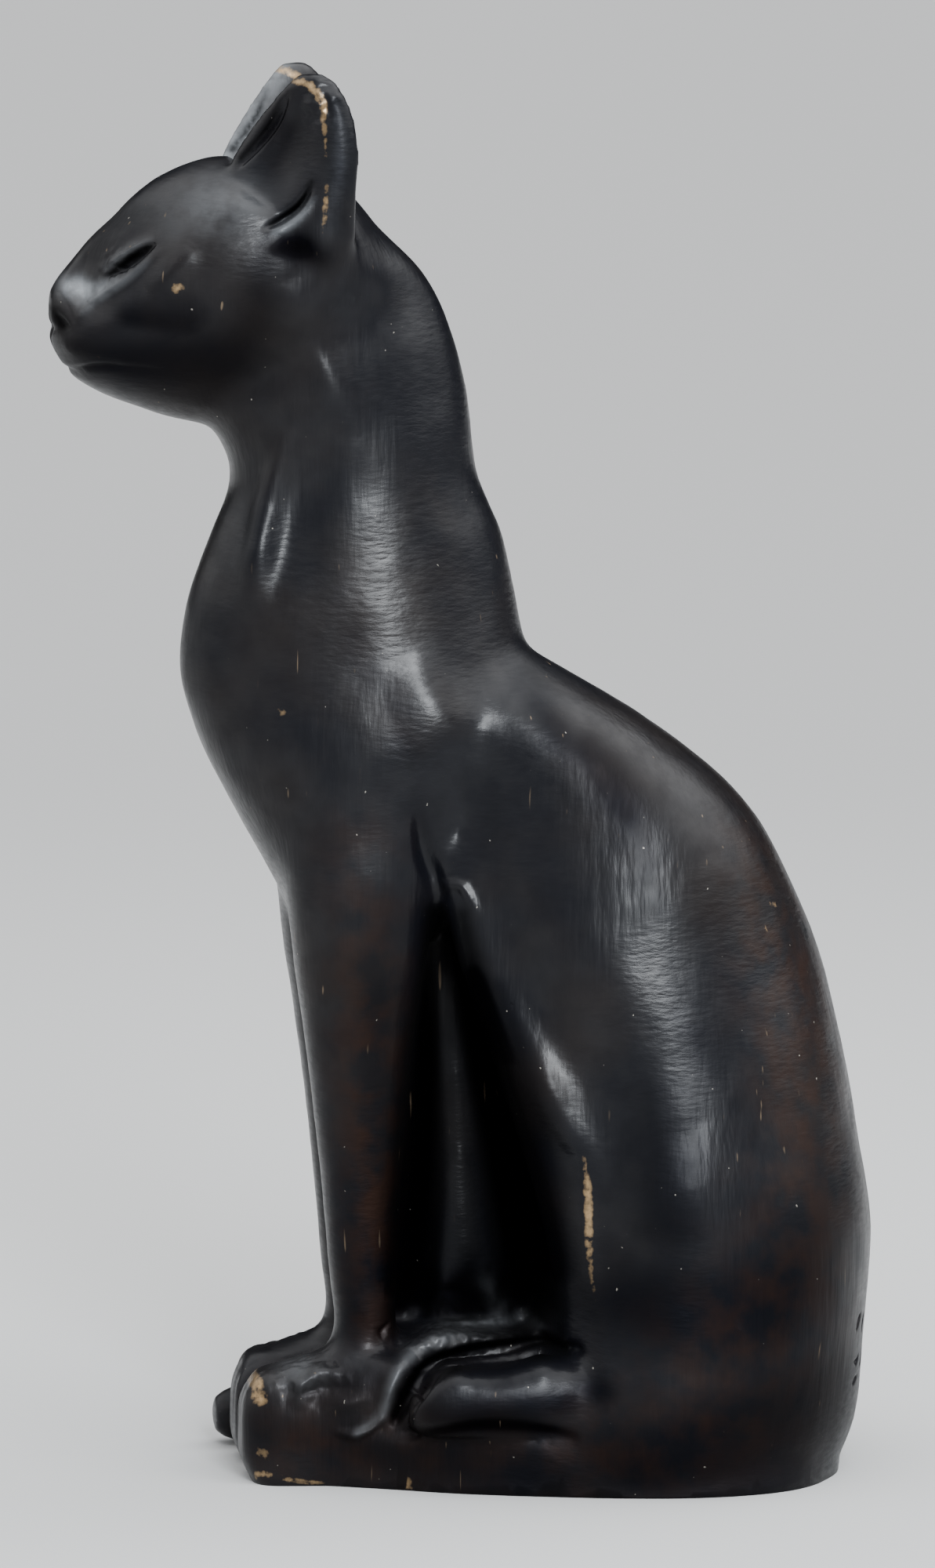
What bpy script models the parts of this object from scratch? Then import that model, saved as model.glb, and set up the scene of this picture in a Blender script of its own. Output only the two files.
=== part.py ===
"""A seated bronze cat, cast in one piece: an upright cat on a low base, its tail laid round its right side.

The figure is drawn on a canon of its own height, as a carver would: a proportion below is in
hundredths of the height, and UNIT turns it into metres. +Z is up, the cat faces -Y, its left side
is +X, and the origin lies on the flat underside. Masses are lofted through rings, fused by a voxel
remesh, softened, and carved with strokes.
"""

import math

import bmesh
import bpy
import numpy as np
from mathutils import Vector

HEIGHT = 0.150  # underside to ear tips
BASE_HEIGHT = 0.0054  # low base under the feet and haunches
WEB_THICKNESS = 0.0027  # wall of metal that closes the gap between the legs
UNIT = HEIGHT / 100  # one part of the canon

VOXEL = 0.00063  # grain of the fused clay
RING_POINTS = 48  # points round each lofted ring
RINGS_BETWEEN = 5  # rings added between two given ones
SOFTENING_PASSES = 6  # light smoothing all over
RUBBING_PASSES = 120  # long smoothing where two masses flow together
CAST_TRIANGLES = 9400  # faces kept in the finished solid

# Bust: height, throat or chest line, nape line, half width, egg shape of the section.
BUST = [
    (38.5, -11.4, -2.0, 6.4, 0.10),
    (43.6, -14.0, 0.0, 8.0, 0.12),
    (48.9, -16.9, 3.0, 9.0, 0.14),
    (53.4, -19.0, 4.8, 9.2, 0.16),
    (57.9, -20.1, 4.6, 8.9, 0.18),
    (62.4, -19.6, 3.9, 8.2, 0.18),
    (66.9, -18.1, 2.9, 7.4, 0.16),
    (71.4, -16.4, 1.1, 6.8, 0.12),
    (74.6, -17.6, 0.7, 6.6, 0.05),
    (77.0, -18.4, 0.5, 6.6, 0.05),
    (80.4, -15.6, -0.3, 6.6, 0.00),
    (84.9, -15.0, -2.0, 6.3, 0.00),
    (87.0, -14.5, -3.7, 5.6, 0.00),
    (89.3, -14.0, -6.4, 3.6, 0.00),
]

# Body: height, front line, back line, half width, egg shape.
BODY = [
    (-2.0, 2.0, 25.4, 13.2, -0.06),
    (0.0, 2.0, 26.8, 13.8, -0.06),
    (3.9, 2.5, 28.3, 14.9, -0.06),
    (9.6, 4.6, 28.8, 15.5, -0.06),
    (17.4, 5.3, 29.3, 15.4, -0.06),
    (24.2, 3.6, 28.3, 14.8, -0.04),
    (30.9, 1.4, 27.1, 13.9, 0.00),
    (37.7, -0.8, 25.3, 12.9, 0.04),
    (44.4, -3.2, 22.4, 11.6, 0.08),
    (48.9, -4.8, 19.3, 10.6, 0.10),
    (53.4, -6.2, 13.8, 9.3, 0.10),
    (56.4, -6.6, 9.0, 8.2, 0.10),
    (59.0, -6.6, 4.6, 6.4, 0.10),
]

# Thigh: height, front line, back line, middle from the centre plane, half width.
THIGH = [
    (0.0, 6.4, 14.0, 7.6, 3.4),
    (8.0, 6.2, 15.0, 7.8, 3.6),
    (13.0, 5.9, 16.0, 8.0, 3.8),
    (19.0, 4.8, 16.0, 8.0, 3.8),
    (26.4, 2.6, 15.0, 7.7, 3.6),
    (33.1, 0.4, 13.0, 7.2, 3.4),
    (40.8, -2.0, 10.0, 6.4, 3.0),
    (46.0, -3.4, 8.0, 5.6, 2.6),
]

# Front leg: height, front line, back line, middle from the centre plane, half width.
FORELEG = [
    (5.0, -10.0, -4.6, 3.4, 2.9),
    (11.1, -9.6, -5.1, 3.4, 2.7),
    (15.5, -9.9, -5.0, 3.4, 2.8),
    (22.3, -10.5, -4.6, 3.4, 3.0),
    (27.7, -11.1, -4.2, 3.5, 3.3),
    (33.1, -11.8, -3.6, 3.7, 3.8),
    (38.0, -12.5, -2.9, 4.0, 4.4),
    (43.6, -13.1, -2.2, 4.3, 4.7),
    (50.0, -13.2, -1.0, 4.3, 4.2),
    (55.0, -12.0, -1.0, 4.0, 3.2),
]

# Front paw: distance forward, underside, top, middle from the centre plane, half width.
FOREPAW = [
    (-2.5, -2.0, 9.0, 4.6, 4.2),
    (-5.0, -2.0, 9.4, 4.4, 4.1),
    (-8.0, -2.0, 9.6, 4.0, 3.9),
    (-10.5, -2.0, 9.1, 3.7, 3.7),
    (-12.6, -2.0, 8.5, 3.6, 3.6),
    (-14.4, -2.0, 7.8, 3.5, 3.4),
    (-15.7, 0.3, 6.8, 3.3, 3.0),
    (-16.3, 1.6, 5.6, 3.2, 2.2),
]

# Hind foot: distance forward, underside, top, middle from the centre plane, half width.
HINDPAW = [
    (10.0, 2.0, 9.6, 9.4, 3.4),
    (5.0, 3.4, 9.4, 9.8, 3.2),
    (0.0, 3.8, 8.9, 9.8, 3.0),
    (-3.2, 4.0, 8.3, 9.6, 2.7),
    (-4.8, 4.6, 7.2, 9.4, 1.9),
]

# Head: distance forward, jaw line, brow line, half width, egg shape.
HEAD = [
    (-4.8, 82.0, 87.2, 4.4, 0.00),
    (-6.5, 79.4, 89.4, 6.4, 0.00),
    (-9.0, 77.4, 92.0, 8.0, -0.04),
    (-13.0, 75.6, 93.8, 8.8, -0.10),
    (-17.0, 75.0, 94.1, 8.6, -0.14),
    (-20.5, 75.6, 93.1, 7.7, -0.18),
    (-23.5, 76.6, 91.2, 6.4, -0.20),
    (-26.0, 77.6, 88.7, 5.0, -0.18),
    (-27.6, 78.6, 86.8, 3.9, -0.10),
    (-28.6, 79.8, 85.6, 2.8, 0.00),
    (-29.2, 81.0, 84.6, 1.6, 0.00),
]

# Ear: height, front rim (across, forward), back rim (across, forward), thickness.
EAR = [
    (84.0, 4.6, -14.5, 6.6, -8.6, 4.6),
    (88.0, 4.4, -16.2, 7.8, -8.4, 4.4),
    (91.5, 3.6, -17.2, 8.2, -8.3, 3.8),
    (94.0, 3.7, -16.6, 8.2, -8.1, 3.2),
    (96.0, 4.4, -15.5, 8.1, -8.2, 2.7),
    (98.0, 5.4, -14.1, 7.9, -8.7, 2.2),
    (99.5, 6.1, -12.9, 7.5, -9.5, 1.8),
    (100.2, 6.4, -12.2, 7.1, -10.4, 1.1),
]

# Tail: its middle line (across, forward, up) and radius, from the rump round the right side.
TAIL = [
    (0.0, 23.0, 3.4, 2.4),
    (-5.5, 24.8, 3.0, 2.8),
    (-11.0, 22.4, 2.8, 2.7),
    (-14.4, 16.0, 2.7, 2.5),
    (-14.8, 7.0, 2.5, 2.4),
    (-12.6, -2.0, 2.4, 2.3),
    (-10.2, -10.0, 2.3, 2.2),
    (-9.2, -15.4, 2.2, 2.0),
    (-9.0, -17.2, 2.2, 1.2),
]

# Base: distance forward and half width of its outline.
BASE_OUTLINE = [
    (-15.3, 2.6),
    (-14.2, 5.2),
    (-10.0, 7.2),
    (-6.0, 8.8),
    (-2.0, 10.6),
    (4.0, 12.4),
    (12.0, 14.0),
    (18.0, 13.8),
    (23.0, 11.6),
    (26.0, 7.0),
    (27.0, 2.5),
]
SPARE_DEPTH = 2.0  # clay below the ground line, cut away to leave the flat underside

# Web: height, front line, back line.
WEB = [
    (8.0, -6.0, 9.0),
    (20.0, -6.5, 9.0),
    (32.0, -6.0, 6.0),
    (43.0, -5.0, 3.0),
]

# Wedge on the web: height, front line, back line, half width, egg shape.
WEDGE = [
    (9.0, -3.0, 3.6, 2.6, 0.0),
    (12.3, -2.6, 3.2, 2.4, 0.0),
    (16.0, -2.3, 2.5, 2.2, 0.0),
    (20.7, -1.9, 1.5, 2.0, 0.0),
    (25.8, -1.5, 0.6, 1.7, 0.0),
    (33.0, -1.4, 0.0, 1.4, 0.0),
    (42.0, -1.9, -0.6, 1.3, 0.0),
]

# Floor of the gap: height, front line, back line, half width, egg shape.
GAP_FLOOR = [
    (0.0, -8.0, 9.0, 8.2, 0.0),
    (6.0, -7.5, 8.0, 7.8, 0.0),
    (9.2, -6.5, 7.0, 7.0, 0.0),
    (10.4, -5.5, 6.0, 5.6, 0.0),
]

# Joins rubbed smooth: forward, up, reach.
RUBBED_JOINS = [
    (-6.0, 78.0, 11.0),
    (-12.0, 72.0, 9.0),
    (1.0, 55.0, 12.0),
    (-4.0, 47.0, 10.0),
    (-10.0, 46.0, 9.0),
    (10.0, 26.0, 16.0),
]

# Carving seen from the side: forward, up, breadth, depth; a depth below nought is raised instead.
SIDE_STROKES = {
    "eye": [
        (-25.6, 86.2, 0.25, 0.15),
        (-24.7, 86.6, 0.55, 0.80),
        (-23.8, 87.2, 0.75, 0.90),
        (-23.0, 87.8, 0.55, 0.80),
        (-22.2, 88.2, 0.25, 0.15),
    ],
    "lower lid": [
        (-22.1, 88.0, 0.35, -0.10),
        (-23.0, 87.0, 0.35, -0.30),
        (-24.0, 86.1, 0.35, -0.35),
        (-25.3, 85.3, 0.35, -0.30),
        (-26.7, 84.6, 0.35, -0.20),
        (-27.6, 83.4, 0.35, -0.05),
    ],
    "upper lid": [
        (-25.6, 86.8, 0.35, -0.05),
        (-24.6, 87.7, 0.35, -0.30),
        (-23.6, 88.6, 0.35, -0.35),
        (-22.4, 88.6, 0.35, -0.10),
    ],
    "side of muzzle": [
        (-25.2, 85.9, 0.60, 0.10),
        (-26.6, 85.6, 0.90, 0.45),
        (-27.8, 84.5, 0.90, 0.35),
    ],
    "wing of nose": [
        (-28.4, 85.3, 0.30, 0.05),
        (-28.1, 84.2, 0.35, 0.40),
        (-27.6, 83.0, 0.35, 0.30),
    ],
    "whisker pad": [
        (-28.0, 81.0, 1.10, -0.30),
        (-26.2, 80.8, 1.10, -0.20),
    ],
    "mouth": [
        (-27.8, 79.2, 0.35, 0.30),
        (-26.7, 79.6, 0.35, 0.40),
        (-25.3, 79.9, 0.35, 0.35),
        (-23.7, 79.8, 0.35, 0.25),
        (-21.6, 79.4, 0.35, 0.05),
    ],
    "cheek": [
        (-21.0, 84.6, 1.60, -0.20),
        (-18.5, 86.6, 1.60, -0.20),
    ],
    "hollow of ear": [
        (-14.4, 91.4, 1.10, 0.30),
        (-14.0, 93.3, 1.80, 1.30),
        (-13.2, 95.5, 1.90, 1.50),
        (-12.5, 97.4, 1.40, 1.20),
        (-12.3, 99.0, 0.80, 0.30),
    ],
    "notch of ear": [
        (-14.6, 89.7, 0.40, 0.10),
        (-13.1, 90.7, 0.45, 0.60),
        (-12.3, 91.5, 0.45, 0.60),
        (-11.6, 92.8, 0.40, 0.15),
    ],
    "lobe of ear": [
        (-14.6, 89.0, 0.50, -0.05),
        (-13.2, 89.1, 0.50, -0.35),
        (-12.0, 90.4, 0.50, -0.35),
        (-11.0, 92.0, 0.50, -0.10),
    ],
    "edge of neck": [
        (-12.0, 75.0, 1.00, 0.00),
        (-12.3, 72.0, 1.00, -0.30),
        (-13.3, 68.5, 1.00, -0.30),
        (-14.4, 64.0, 1.00, 0.00),
    ],
    "front of elbow": [
        (-5.4, 48.6, 0.80, 0.10),
        (-4.4, 46.4, 0.90, 0.60),
        (-3.3, 43.4, 0.80, 0.70),
    ],
    "back of elbow": [
        (-1.5, 46.2, 0.70, 0.10),
        (-0.9, 44.0, 0.80, 0.50),
        (-0.2, 41.6, 0.60, 0.10),
    ],
    "top of hind foot": [
        (6.4, 11.0, 0.50, 0.30),
        (2.0, 10.8, 0.60, 0.90),
        (-1.0, 10.4, 0.70, 1.00),
        (-3.6, 9.4, 0.70, 1.00),
        (-5.0, 7.4, 0.60, 0.90),
        (-5.4, 5.2, 0.50, 0.30),
    ],
    "sole of hind foot": [
        (-4.6, 4.4, 0.45, 0.20),
        (-2.0, 4.8, 0.50, 0.60),
        (1.5, 5.2, 0.50, 0.70),
        (5.0, 4.6, 0.45, 0.50),
        (7.5, 4.2, 0.40, 0.10),
    ],
}

# Carving seen from the front: across, up, breadth, depth.
FRONT_STROKES = {
    "philtrum": [(0.0, 82.6, 0.35, 0.20), (0.0, 81.4, 0.35, 0.55), (0.0, 79.6, 0.40, 0.45)],
    "nostril": [(0.8, 83.0, 0.40, 0.35), (1.5, 83.4, 0.35, 0.40)],
    "inner toe": [(1.9, 7.6, 0.40, 0.10), (1.9, 5.0, 0.45, 0.45), (1.9, 1.8, 0.45, 0.20)],
    "middle toe": [(3.5, 7.8, 0.40, 0.10), (3.5, 5.0, 0.45, 0.45), (3.5, 1.8, 0.45, 0.20)],
    "outer toe": [(5.1, 7.2, 0.40, 0.10), (5.1, 5.0, 0.45, 0.40), (5.1, 1.8, 0.45, 0.20)],
    "hind inner toe": [(8.9, 7.6, 0.40, 0.10), (8.9, 6.0, 0.40, 0.40), (8.9, 4.8, 0.40, 0.10)],
    "hind outer toe": [(10.3, 7.6, 0.40, 0.10), (10.3, 6.0, 0.40, 0.40), (10.3, 4.8, 0.40, 0.10)],
}


def clear_scene():
    for item in list(bpy.data.objects):
        bpy.data.objects.remove(item)


def eased(rows, between=RINGS_BETWEEN):
    """The rows with smooth rows added between them, each column on its own Catmull-Rom curve."""
    rows = np.array(rows, float)
    padded = np.vstack([2 * rows[0] - rows[1], rows, 2 * rows[-1] - rows[-2]])
    made = []
    for before, start, end, after in zip(padded, padded[1:], padded[2:], padded[3:]):
        for step in range(between + 1):
            t = step / (between + 1)
            made.append(
                0.5 * (2 * start + (end - before) * t
                       + (2 * before - 5 * start + 4 * end - after) * t**2
                       + (3 * start - before - 3 * end + after) * t**3)
            )
    return np.vstack([made, rows[-1]])


def ring(centre, across, through, egg=0.0, square=2.0):
    """Points of an oval in canon units. A square above 2 fills its corners, and egg widens one end."""
    turns = np.linspace(0, 2 * math.pi, RING_POINTS, endpoint=False)
    near, side = (np.sign(w) * np.abs(w) ** (2 / square) for w in (np.cos(turns), np.sin(turns)))
    side = side * (1 + egg * near)
    return np.array(centre) + np.outer(side, across) + np.outer(near, through)


def loft(rings):
    """A closed mesh through the rings: each is bridged to the next, and the two ends are filled."""
    skin = bmesh.new()
    loops = []
    for number, points in enumerate(rings):
        at_an_end = number in (0, len(rings) - 1)
        made = bmesh.ops.create_circle(skin, cap_ends=at_an_end, segments=len(points), radius=1)
        for vertex, point in zip(made["verts"], points):
            vertex.co = Vector(point) * UNIT
        loops.append(list({edge for vertex in made["verts"] for edge in vertex.link_edges}))
    for lower, upper in zip(loops, loops[1:]):
        bmesh.ops.bridge_loops(skin, edges=lower + upper)
    bmesh.ops.recalc_face_normals(skin, faces=skin.faces)
    mesh = bpy.data.meshes.new("mass")
    skin.to_mesh(mesh)
    skin.free()
    return mesh


def standing(rows, square=2.0):
    """A mass on the centre plane, drawn by its front and back lines at rising heights."""
    return loft([
        ring((0, (front + back) / 2, up), (wide, 0, 0), (0, (back - front) / 2, 0), egg, square)
        for up, front, back, wide, egg in eased(rows)
    ])


def limb(rows, side, square=2.0):
    """An upright limb beside the centre plane; side is 1 for the left and -1 for the right."""
    return loft([
        ring((side * middle, (front + back) / 2, up), (wide, 0, 0), (0, (back - front) / 2, 0), 0, square)
        for up, front, back, middle, wide in eased(rows)
    ])


def foot(rows, side, square=2.0):
    """A foot lying forward beside the centre plane, drawn by its underside and top."""
    return loft([
        ring((side * middle, forward, (low + high) / 2), (wide, 0, 0), (0, 0, (high - low) / 2), 0, square)
        for forward, low, high, middle, wide in eased(rows)
    ])


def head():
    return loft([
        ring((0, forward, (jaw + brow) / 2), (wide, 0, 0), (0, 0, (brow - jaw) / 2), egg)
        for forward, jaw, brow, wide, egg in eased(HEAD)
    ])


def ear(side):
    """A thick leaf from the inner front rim to the outer back rim."""
    rings = []
    for up, front_x, front_y, back_x, back_y, thick in eased(EAR):
        front, back = np.array((side * front_x, front_y)), np.array((side * back_x, back_y))
        along = (back - front) / 2
        out = np.array((along[1], -along[0])) / np.linalg.norm(along) * thick / 2
        rings.append(ring((*(front + back) / 2, up), (*out, 0), (*along, 0)))
    return loft(rings)


def tail():
    """A rope of rings, each square to the tail's middle line."""
    line = eased(TAIL)
    points, radii = line[:, :3], line[:, 3]
    ways = np.gradient(points, axis=0)
    rings = []
    for point, way, radius in zip(points, ways, radii):
        way = way / np.linalg.norm(way)
        level = np.cross(way, (0, 0, 1))
        level = level / np.linalg.norm(level)
        rings.append(ring(point, level * radius, np.cross(level, way) * radius))
    return loft(rings)


def base():
    """The low slab under the feet, from its outline."""
    outline = eased(BASE_OUTLINE, 3)
    rim = [(wide, forward) for forward, wide in outline]
    rim += [(-wide, forward) for forward, wide in outline[::-1]]
    rings = []
    for up in (-SPARE_DEPTH, BASE_HEIGHT / UNIT):
        rings.append(np.array([(across, forward, up) for across, forward in rim]))
    return loft(rings)


def web():
    """The wall of metal that closes the gap between the front legs and the thighs."""
    half = WEB_THICKNESS / 2 / UNIT
    return loft([
        ring((0, (front + back) / 2, up), (half, 0, 0), (0, (back - front) / 2, 0), 0, 6.0)
        for up, front, back in eased(WEB)
    ])


def masses():
    """Every mass of the figure, still separate."""
    made = [standing(BUST, 2.3), standing(BODY, 2.3), head(), tail(), base(), web()]
    made += [standing(WEDGE), standing(GAP_FLOOR, 3.0)]
    for side in (1, -1):
        made += [
            limb(THIGH, side, 2.4),
            limb(FORELEG, side, 2.3),
            foot(FOREPAW, side, 3.4),
            foot(HINDPAW, side, 2.4),
            ear(side),
        ]
    return made


def finished_by(mesh, add_modifiers):
    """The mesh after the modifiers that the given function adds to it."""
    lump = bpy.data.objects.new("clay", mesh)
    bpy.context.scene.collection.objects.link(lump)
    add_modifiers(lump)
    graph = bpy.context.evaluated_depsgraph_get()
    made = bpy.data.meshes.new_from_object(lump.evaluated_get(graph))
    bpy.data.objects.remove(lump)
    bpy.data.meshes.remove(mesh)
    return made


def fused(parts):
    """One closed skin round all the masses, lightly smoothed."""
    clay = bmesh.new()
    for part in parts:
        clay.from_mesh(part)
        bpy.data.meshes.remove(part)
    mesh = bpy.data.meshes.new("clay")
    clay.to_mesh(mesh)
    clay.free()

    def add_modifiers(lump):
        remesh = lump.modifiers.new("fuse", "REMESH")
        remesh.mode = "VOXEL"
        remesh.voxel_size = VOXEL
        smooth = lump.modifiers.new("soften", "SMOOTH")
        smooth.factor = 0.5
        smooth.iterations = SOFTENING_PASSES

    return finished_by(mesh, add_modifiers)


def rubbed(mesh):
    """The mesh smoothed long at the listed joins, fading out to nothing at their edges."""
    spots = spots_of(mesh)
    weight = np.zeros(len(spots))
    for forward, up, reach in RUBBED_JOINS:
        gap = np.linalg.norm(spots[:, 1:] - (forward, up), axis=1)
        weight = np.maximum(weight, np.clip(1 - gap / reach, 0, 1) ** 0.7)

    def add_modifiers(lump):
        group = lump.vertex_groups.new(name="joins")
        for step in range(1, 11):
            chosen = np.flatnonzero(np.ceil(weight * 10) == step)
            group.add([int(number) for number in chosen], step / 10, "REPLACE")
        smooth = lump.modifiers.new("rub", "SMOOTH")
        smooth.factor = 0.5
        smooth.iterations = RUBBING_PASSES
        smooth.vertex_group = "joins"

    return finished_by(mesh, add_modifiers)


def spots_of(mesh):
    """The mesh's points in canon units."""
    spots = np.empty(len(mesh.vertices) * 3)
    mesh.vertices.foreach_get("co", spots)
    return spots.reshape(-1, 3) / UNIT


def thinned(mesh):
    """The mesh with fewer faces, kept where the form turns."""

    def add_modifiers(lump):
        thin = lump.modifiers.new("thin", "DECIMATE")
        thin.ratio = CAST_TRIANGLES / (2 * len(mesh.polygons))
        thin.use_collapse_triangulate = True

    return finished_by(mesh, add_modifiers)


def footed(mesh):
    """The mesh cut off flat at the ground line, the cut closed with one face."""
    work = bmesh.new()
    work.from_mesh(mesh)
    everything = work.verts[:] + work.edges[:] + work.faces[:]
    cut = bmesh.ops.bisect_plane(work, geom=everything, plane_co=(0, 0, 0), plane_no=(0, 0, 1), clear_inner=True)
    rim = [item for item in cut["geom_cut"] if isinstance(item, bmesh.types.BMEdge)]
    bmesh.ops.contextual_create(work, geom=rim)
    bmesh.ops.recalc_face_normals(work, faces=work.faces)
    work.to_mesh(mesh)
    work.free()
    return mesh


def way_to_path(spots, path):
    """For each spot in a flat view: its distance from the path, and the path's breadth and depth there."""
    best = np.full(len(spots), np.inf)
    found = np.zeros((len(spots), 2))
    for start, end in zip(path, path[1:]):
        way = end[:2] - start[:2]
        share = np.clip((spots - start[:2]) @ way / max(way @ way, 1e-9), 0, 1)
        gap = np.linalg.norm(spots - start[:2] - share[:, None] * way, axis=1)
        nearer = gap < best
        best[nearer] = gap[nearer]
        found[nearer] = (start[2:] + share[:, None] * (end[2:] - start[2:]))[nearer]
    return best, found[:, 0], found[:, 1]


def carved(mesh):
    """The mesh with every stroke cut into it, the same on both sides of the figure."""
    spots = spots_of(mesh)
    count = len(spots)
    normals = np.empty(count * 3)
    mesh.vertices.foreach_get("normal", normals)
    normals = normals.reshape(-1, 3)
    side = np.where(spots[:, 0] < 0, -1.0, 1.0)
    views = [
        (SIDE_STROKES, spots[:, 1:], normals[:, 0] * side),
        (FRONT_STROKES, np.stack([np.abs(spots[:, 0]), spots[:, 2]], 1), -normals[:, 1]),
    ]
    push = np.zeros(count)
    for strokes, seen, facing in views:
        for name, rows in strokes.items():
            gap, breadth, depth = way_to_path(seen, eased(rows, 3))
            bite = depth * np.exp(-((gap / np.maximum(breadth, 0.05)) ** 2))
            if name in FRONT_STROKES and rows[0][1] < 20:
                bite = bite * (spots[:, 1] < 0)
            push += bite * np.clip(facing * 2.5, 0, 1)
    spots = (spots - normals * push[:, None]) * UNIT
    mesh.vertices.foreach_set("co", spots.ravel())
    mesh.update()
    return mesh


def patinated_bronze():
    """Bronze under a near-black brown patina, waxed."""
    material = bpy.data.materials.new("patinated_bronze")
    material.use_nodes = True
    shader = material.node_tree.nodes["Principled BSDF"]
    shader.inputs["Base Color"].default_value = (0.030, 0.026, 0.024, 1)
    shader.inputs["Metallic"].default_value = 0.6
    shader.inputs["Roughness"].default_value = 0.35
    material.diffuse_color = (0.030, 0.026, 0.024, 1)
    return material


def main():
    clear_scene()
    mesh = footed(thinned(carved(rubbed(fused(masses())))))
    mesh.shade_smooth()
    mesh.materials.append(patinated_bronze())
    cat = bpy.data.objects.new("cat_statuette", mesh)
    bpy.context.scene.collection.objects.link(cat)
    return cat


main()
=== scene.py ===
# %% [markdown]
# # A seated bronze cat
#
# This lesson builds a small table bronze: a cat sitting upright, cast in one piece and patinated
# nearly black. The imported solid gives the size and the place; here the same figure is modelled
# again more finely, carved, given its patina and lit.

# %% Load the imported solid
import math

import bmesh
import bpy
import numpy as np
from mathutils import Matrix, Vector, noise


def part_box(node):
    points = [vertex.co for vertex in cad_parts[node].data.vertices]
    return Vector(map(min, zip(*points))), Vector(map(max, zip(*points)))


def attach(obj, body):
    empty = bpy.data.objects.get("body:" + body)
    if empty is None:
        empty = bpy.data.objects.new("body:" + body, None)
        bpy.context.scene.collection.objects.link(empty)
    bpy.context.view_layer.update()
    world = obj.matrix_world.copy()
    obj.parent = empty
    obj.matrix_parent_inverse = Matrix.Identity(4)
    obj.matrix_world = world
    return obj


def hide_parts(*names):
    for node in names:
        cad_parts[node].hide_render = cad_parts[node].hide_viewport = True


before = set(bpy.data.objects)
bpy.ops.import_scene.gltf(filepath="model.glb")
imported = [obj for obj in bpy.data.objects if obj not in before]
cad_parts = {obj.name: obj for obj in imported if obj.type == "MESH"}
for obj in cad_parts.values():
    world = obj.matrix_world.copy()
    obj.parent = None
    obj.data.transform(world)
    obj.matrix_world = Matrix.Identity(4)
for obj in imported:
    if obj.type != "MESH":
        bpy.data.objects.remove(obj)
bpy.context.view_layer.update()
low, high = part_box("cat_statuette")
print("the packed solid stands", round((high.z - low.z) * 1000, 1), "mm high")

# %% [markdown]
# ## The canon
#
# Sculptors of such cats drew them on a grid. Here one unit of the grid is a hundredth of the cat's
# height, and every proportion below is in those units: across (+X is the cat's left), forward (the
# cat faces -Y, so forward numbers are negative) and up.

# %% One unit of the grid
HEIGHT = 0.150
UNIT = HEIGHT / 100
print("one unit is", UNIT * 1000, "mm")

# %% [markdown]
# ## Rings and lofts
#
# A modeller blocks out a figure in simple masses. Each mass here is a loft: a stack of oval rings
# joined by bmesh's bridge_loops. Only a few rings are given, and `eased` draws a smooth curve
# through them and adds the rings between.

# %% Smooth rows between the given ones
def eased(rows, between=6):
    rows = np.array(rows, float)
    padded = np.vstack([2 * rows[0] - rows[1], rows, 2 * rows[-1] - rows[-2]])
    made = []
    for before, start, end, after in zip(padded, padded[1:], padded[2:], padded[3:]):
        for step in range(between + 1):
            t = step / (between + 1)
            made.append(
                0.5 * (2 * start + (end - before) * t
                       + (2 * before - 5 * start + 4 * end - after) * t**2
                       + (3 * start - before - 3 * end + after) * t**3)
            )
    return np.vstack([made, rows[-1]])


# %% An oval ring
RING_POINTS = 56


def ring(centre, across, through, egg=0.0, square=2.0):
    """An oval; square above 2 fills its corners, and egg widens one end."""
    turns = np.linspace(0, 2 * math.pi, RING_POINTS, endpoint=False)
    near, side = (np.sign(w) * np.abs(w) ** (2 / square) for w in (np.cos(turns), np.sin(turns)))
    side = side * (1 + egg * near)
    return np.array(centre) + np.outer(side, across) + np.outer(near, through)


# %% A loft through rings
clay = []


def loft(name, rings):
    """Bridges each ring to the next, closes the ends and puts the mass with the others."""
    skin = bmesh.new()
    loops = []
    for number, points in enumerate(rings):
        ends = number in (0, len(rings) - 1)
        made = bmesh.ops.create_circle(skin, cap_ends=ends, segments=len(points), radius=1)
        for vertex, point in zip(made["verts"], points):
            vertex.co = Vector(point) * UNIT
        loops.append(list({edge for vertex in made["verts"] for edge in vertex.link_edges}))
    for lower, upper in zip(loops, loops[1:]):
        bmesh.ops.bridge_loops(skin, edges=lower + upper)
    bmesh.ops.recalc_face_normals(skin, faces=skin.faces)
    mesh = bpy.data.meshes.new(name)
    skin.to_mesh(mesh)
    skin.free()
    clay.append(mesh)
    print(name, "has", len(rings), "rings")


# %% [markdown]
# ## The trunk
#
# Chest, neck and body are read from the outline in the photograph: at each height one line in
# front and one behind, with a half width between them. The haunches are the widest part, low down.

# %% Chest and neck: up, front, back, half width, egg
def standing(name, rows, square=2.0):
    loft(name, [
        ring((0, (front + back) / 2, up), (wide, 0, 0), (0, (back - front) / 2, 0), egg, square)
        for up, front, back, wide, egg in eased(rows)
    ])


standing("chest_and_neck", [
    (38.5, -11.4, -2, 6.4, 0.06),
    (43.6, -14, 0, 8, 0.06),
    (48.9, -16.9, 3, 9, 0.04),
    (53.4, -19, 4.8, 9.2, 0.14),
    (57.9, -20.1, 4.6, 8.3, 0.14),
    (62.4, -19.6, 3.9, 7.8, 0.06),
    (66.9, -18.1, 2.9, 7.3, 0.02),
    (71.4, -16.4, 1.1, 6.9, 0),
    (74.6, -17.6, 0.7, 6.9, 0.02),
    (77, -18.4, 0.5, 7, -0.1),
    (80.4, -15.6, -0.3, 6.7, -0.2),
    (84.9, -15, -2, 5.9, -0.24),
    (87, -14.5, -3.7, 5.6, 0),
    (89.3, -14, -6.4, 3.6, 0),
], 2.15)

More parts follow.
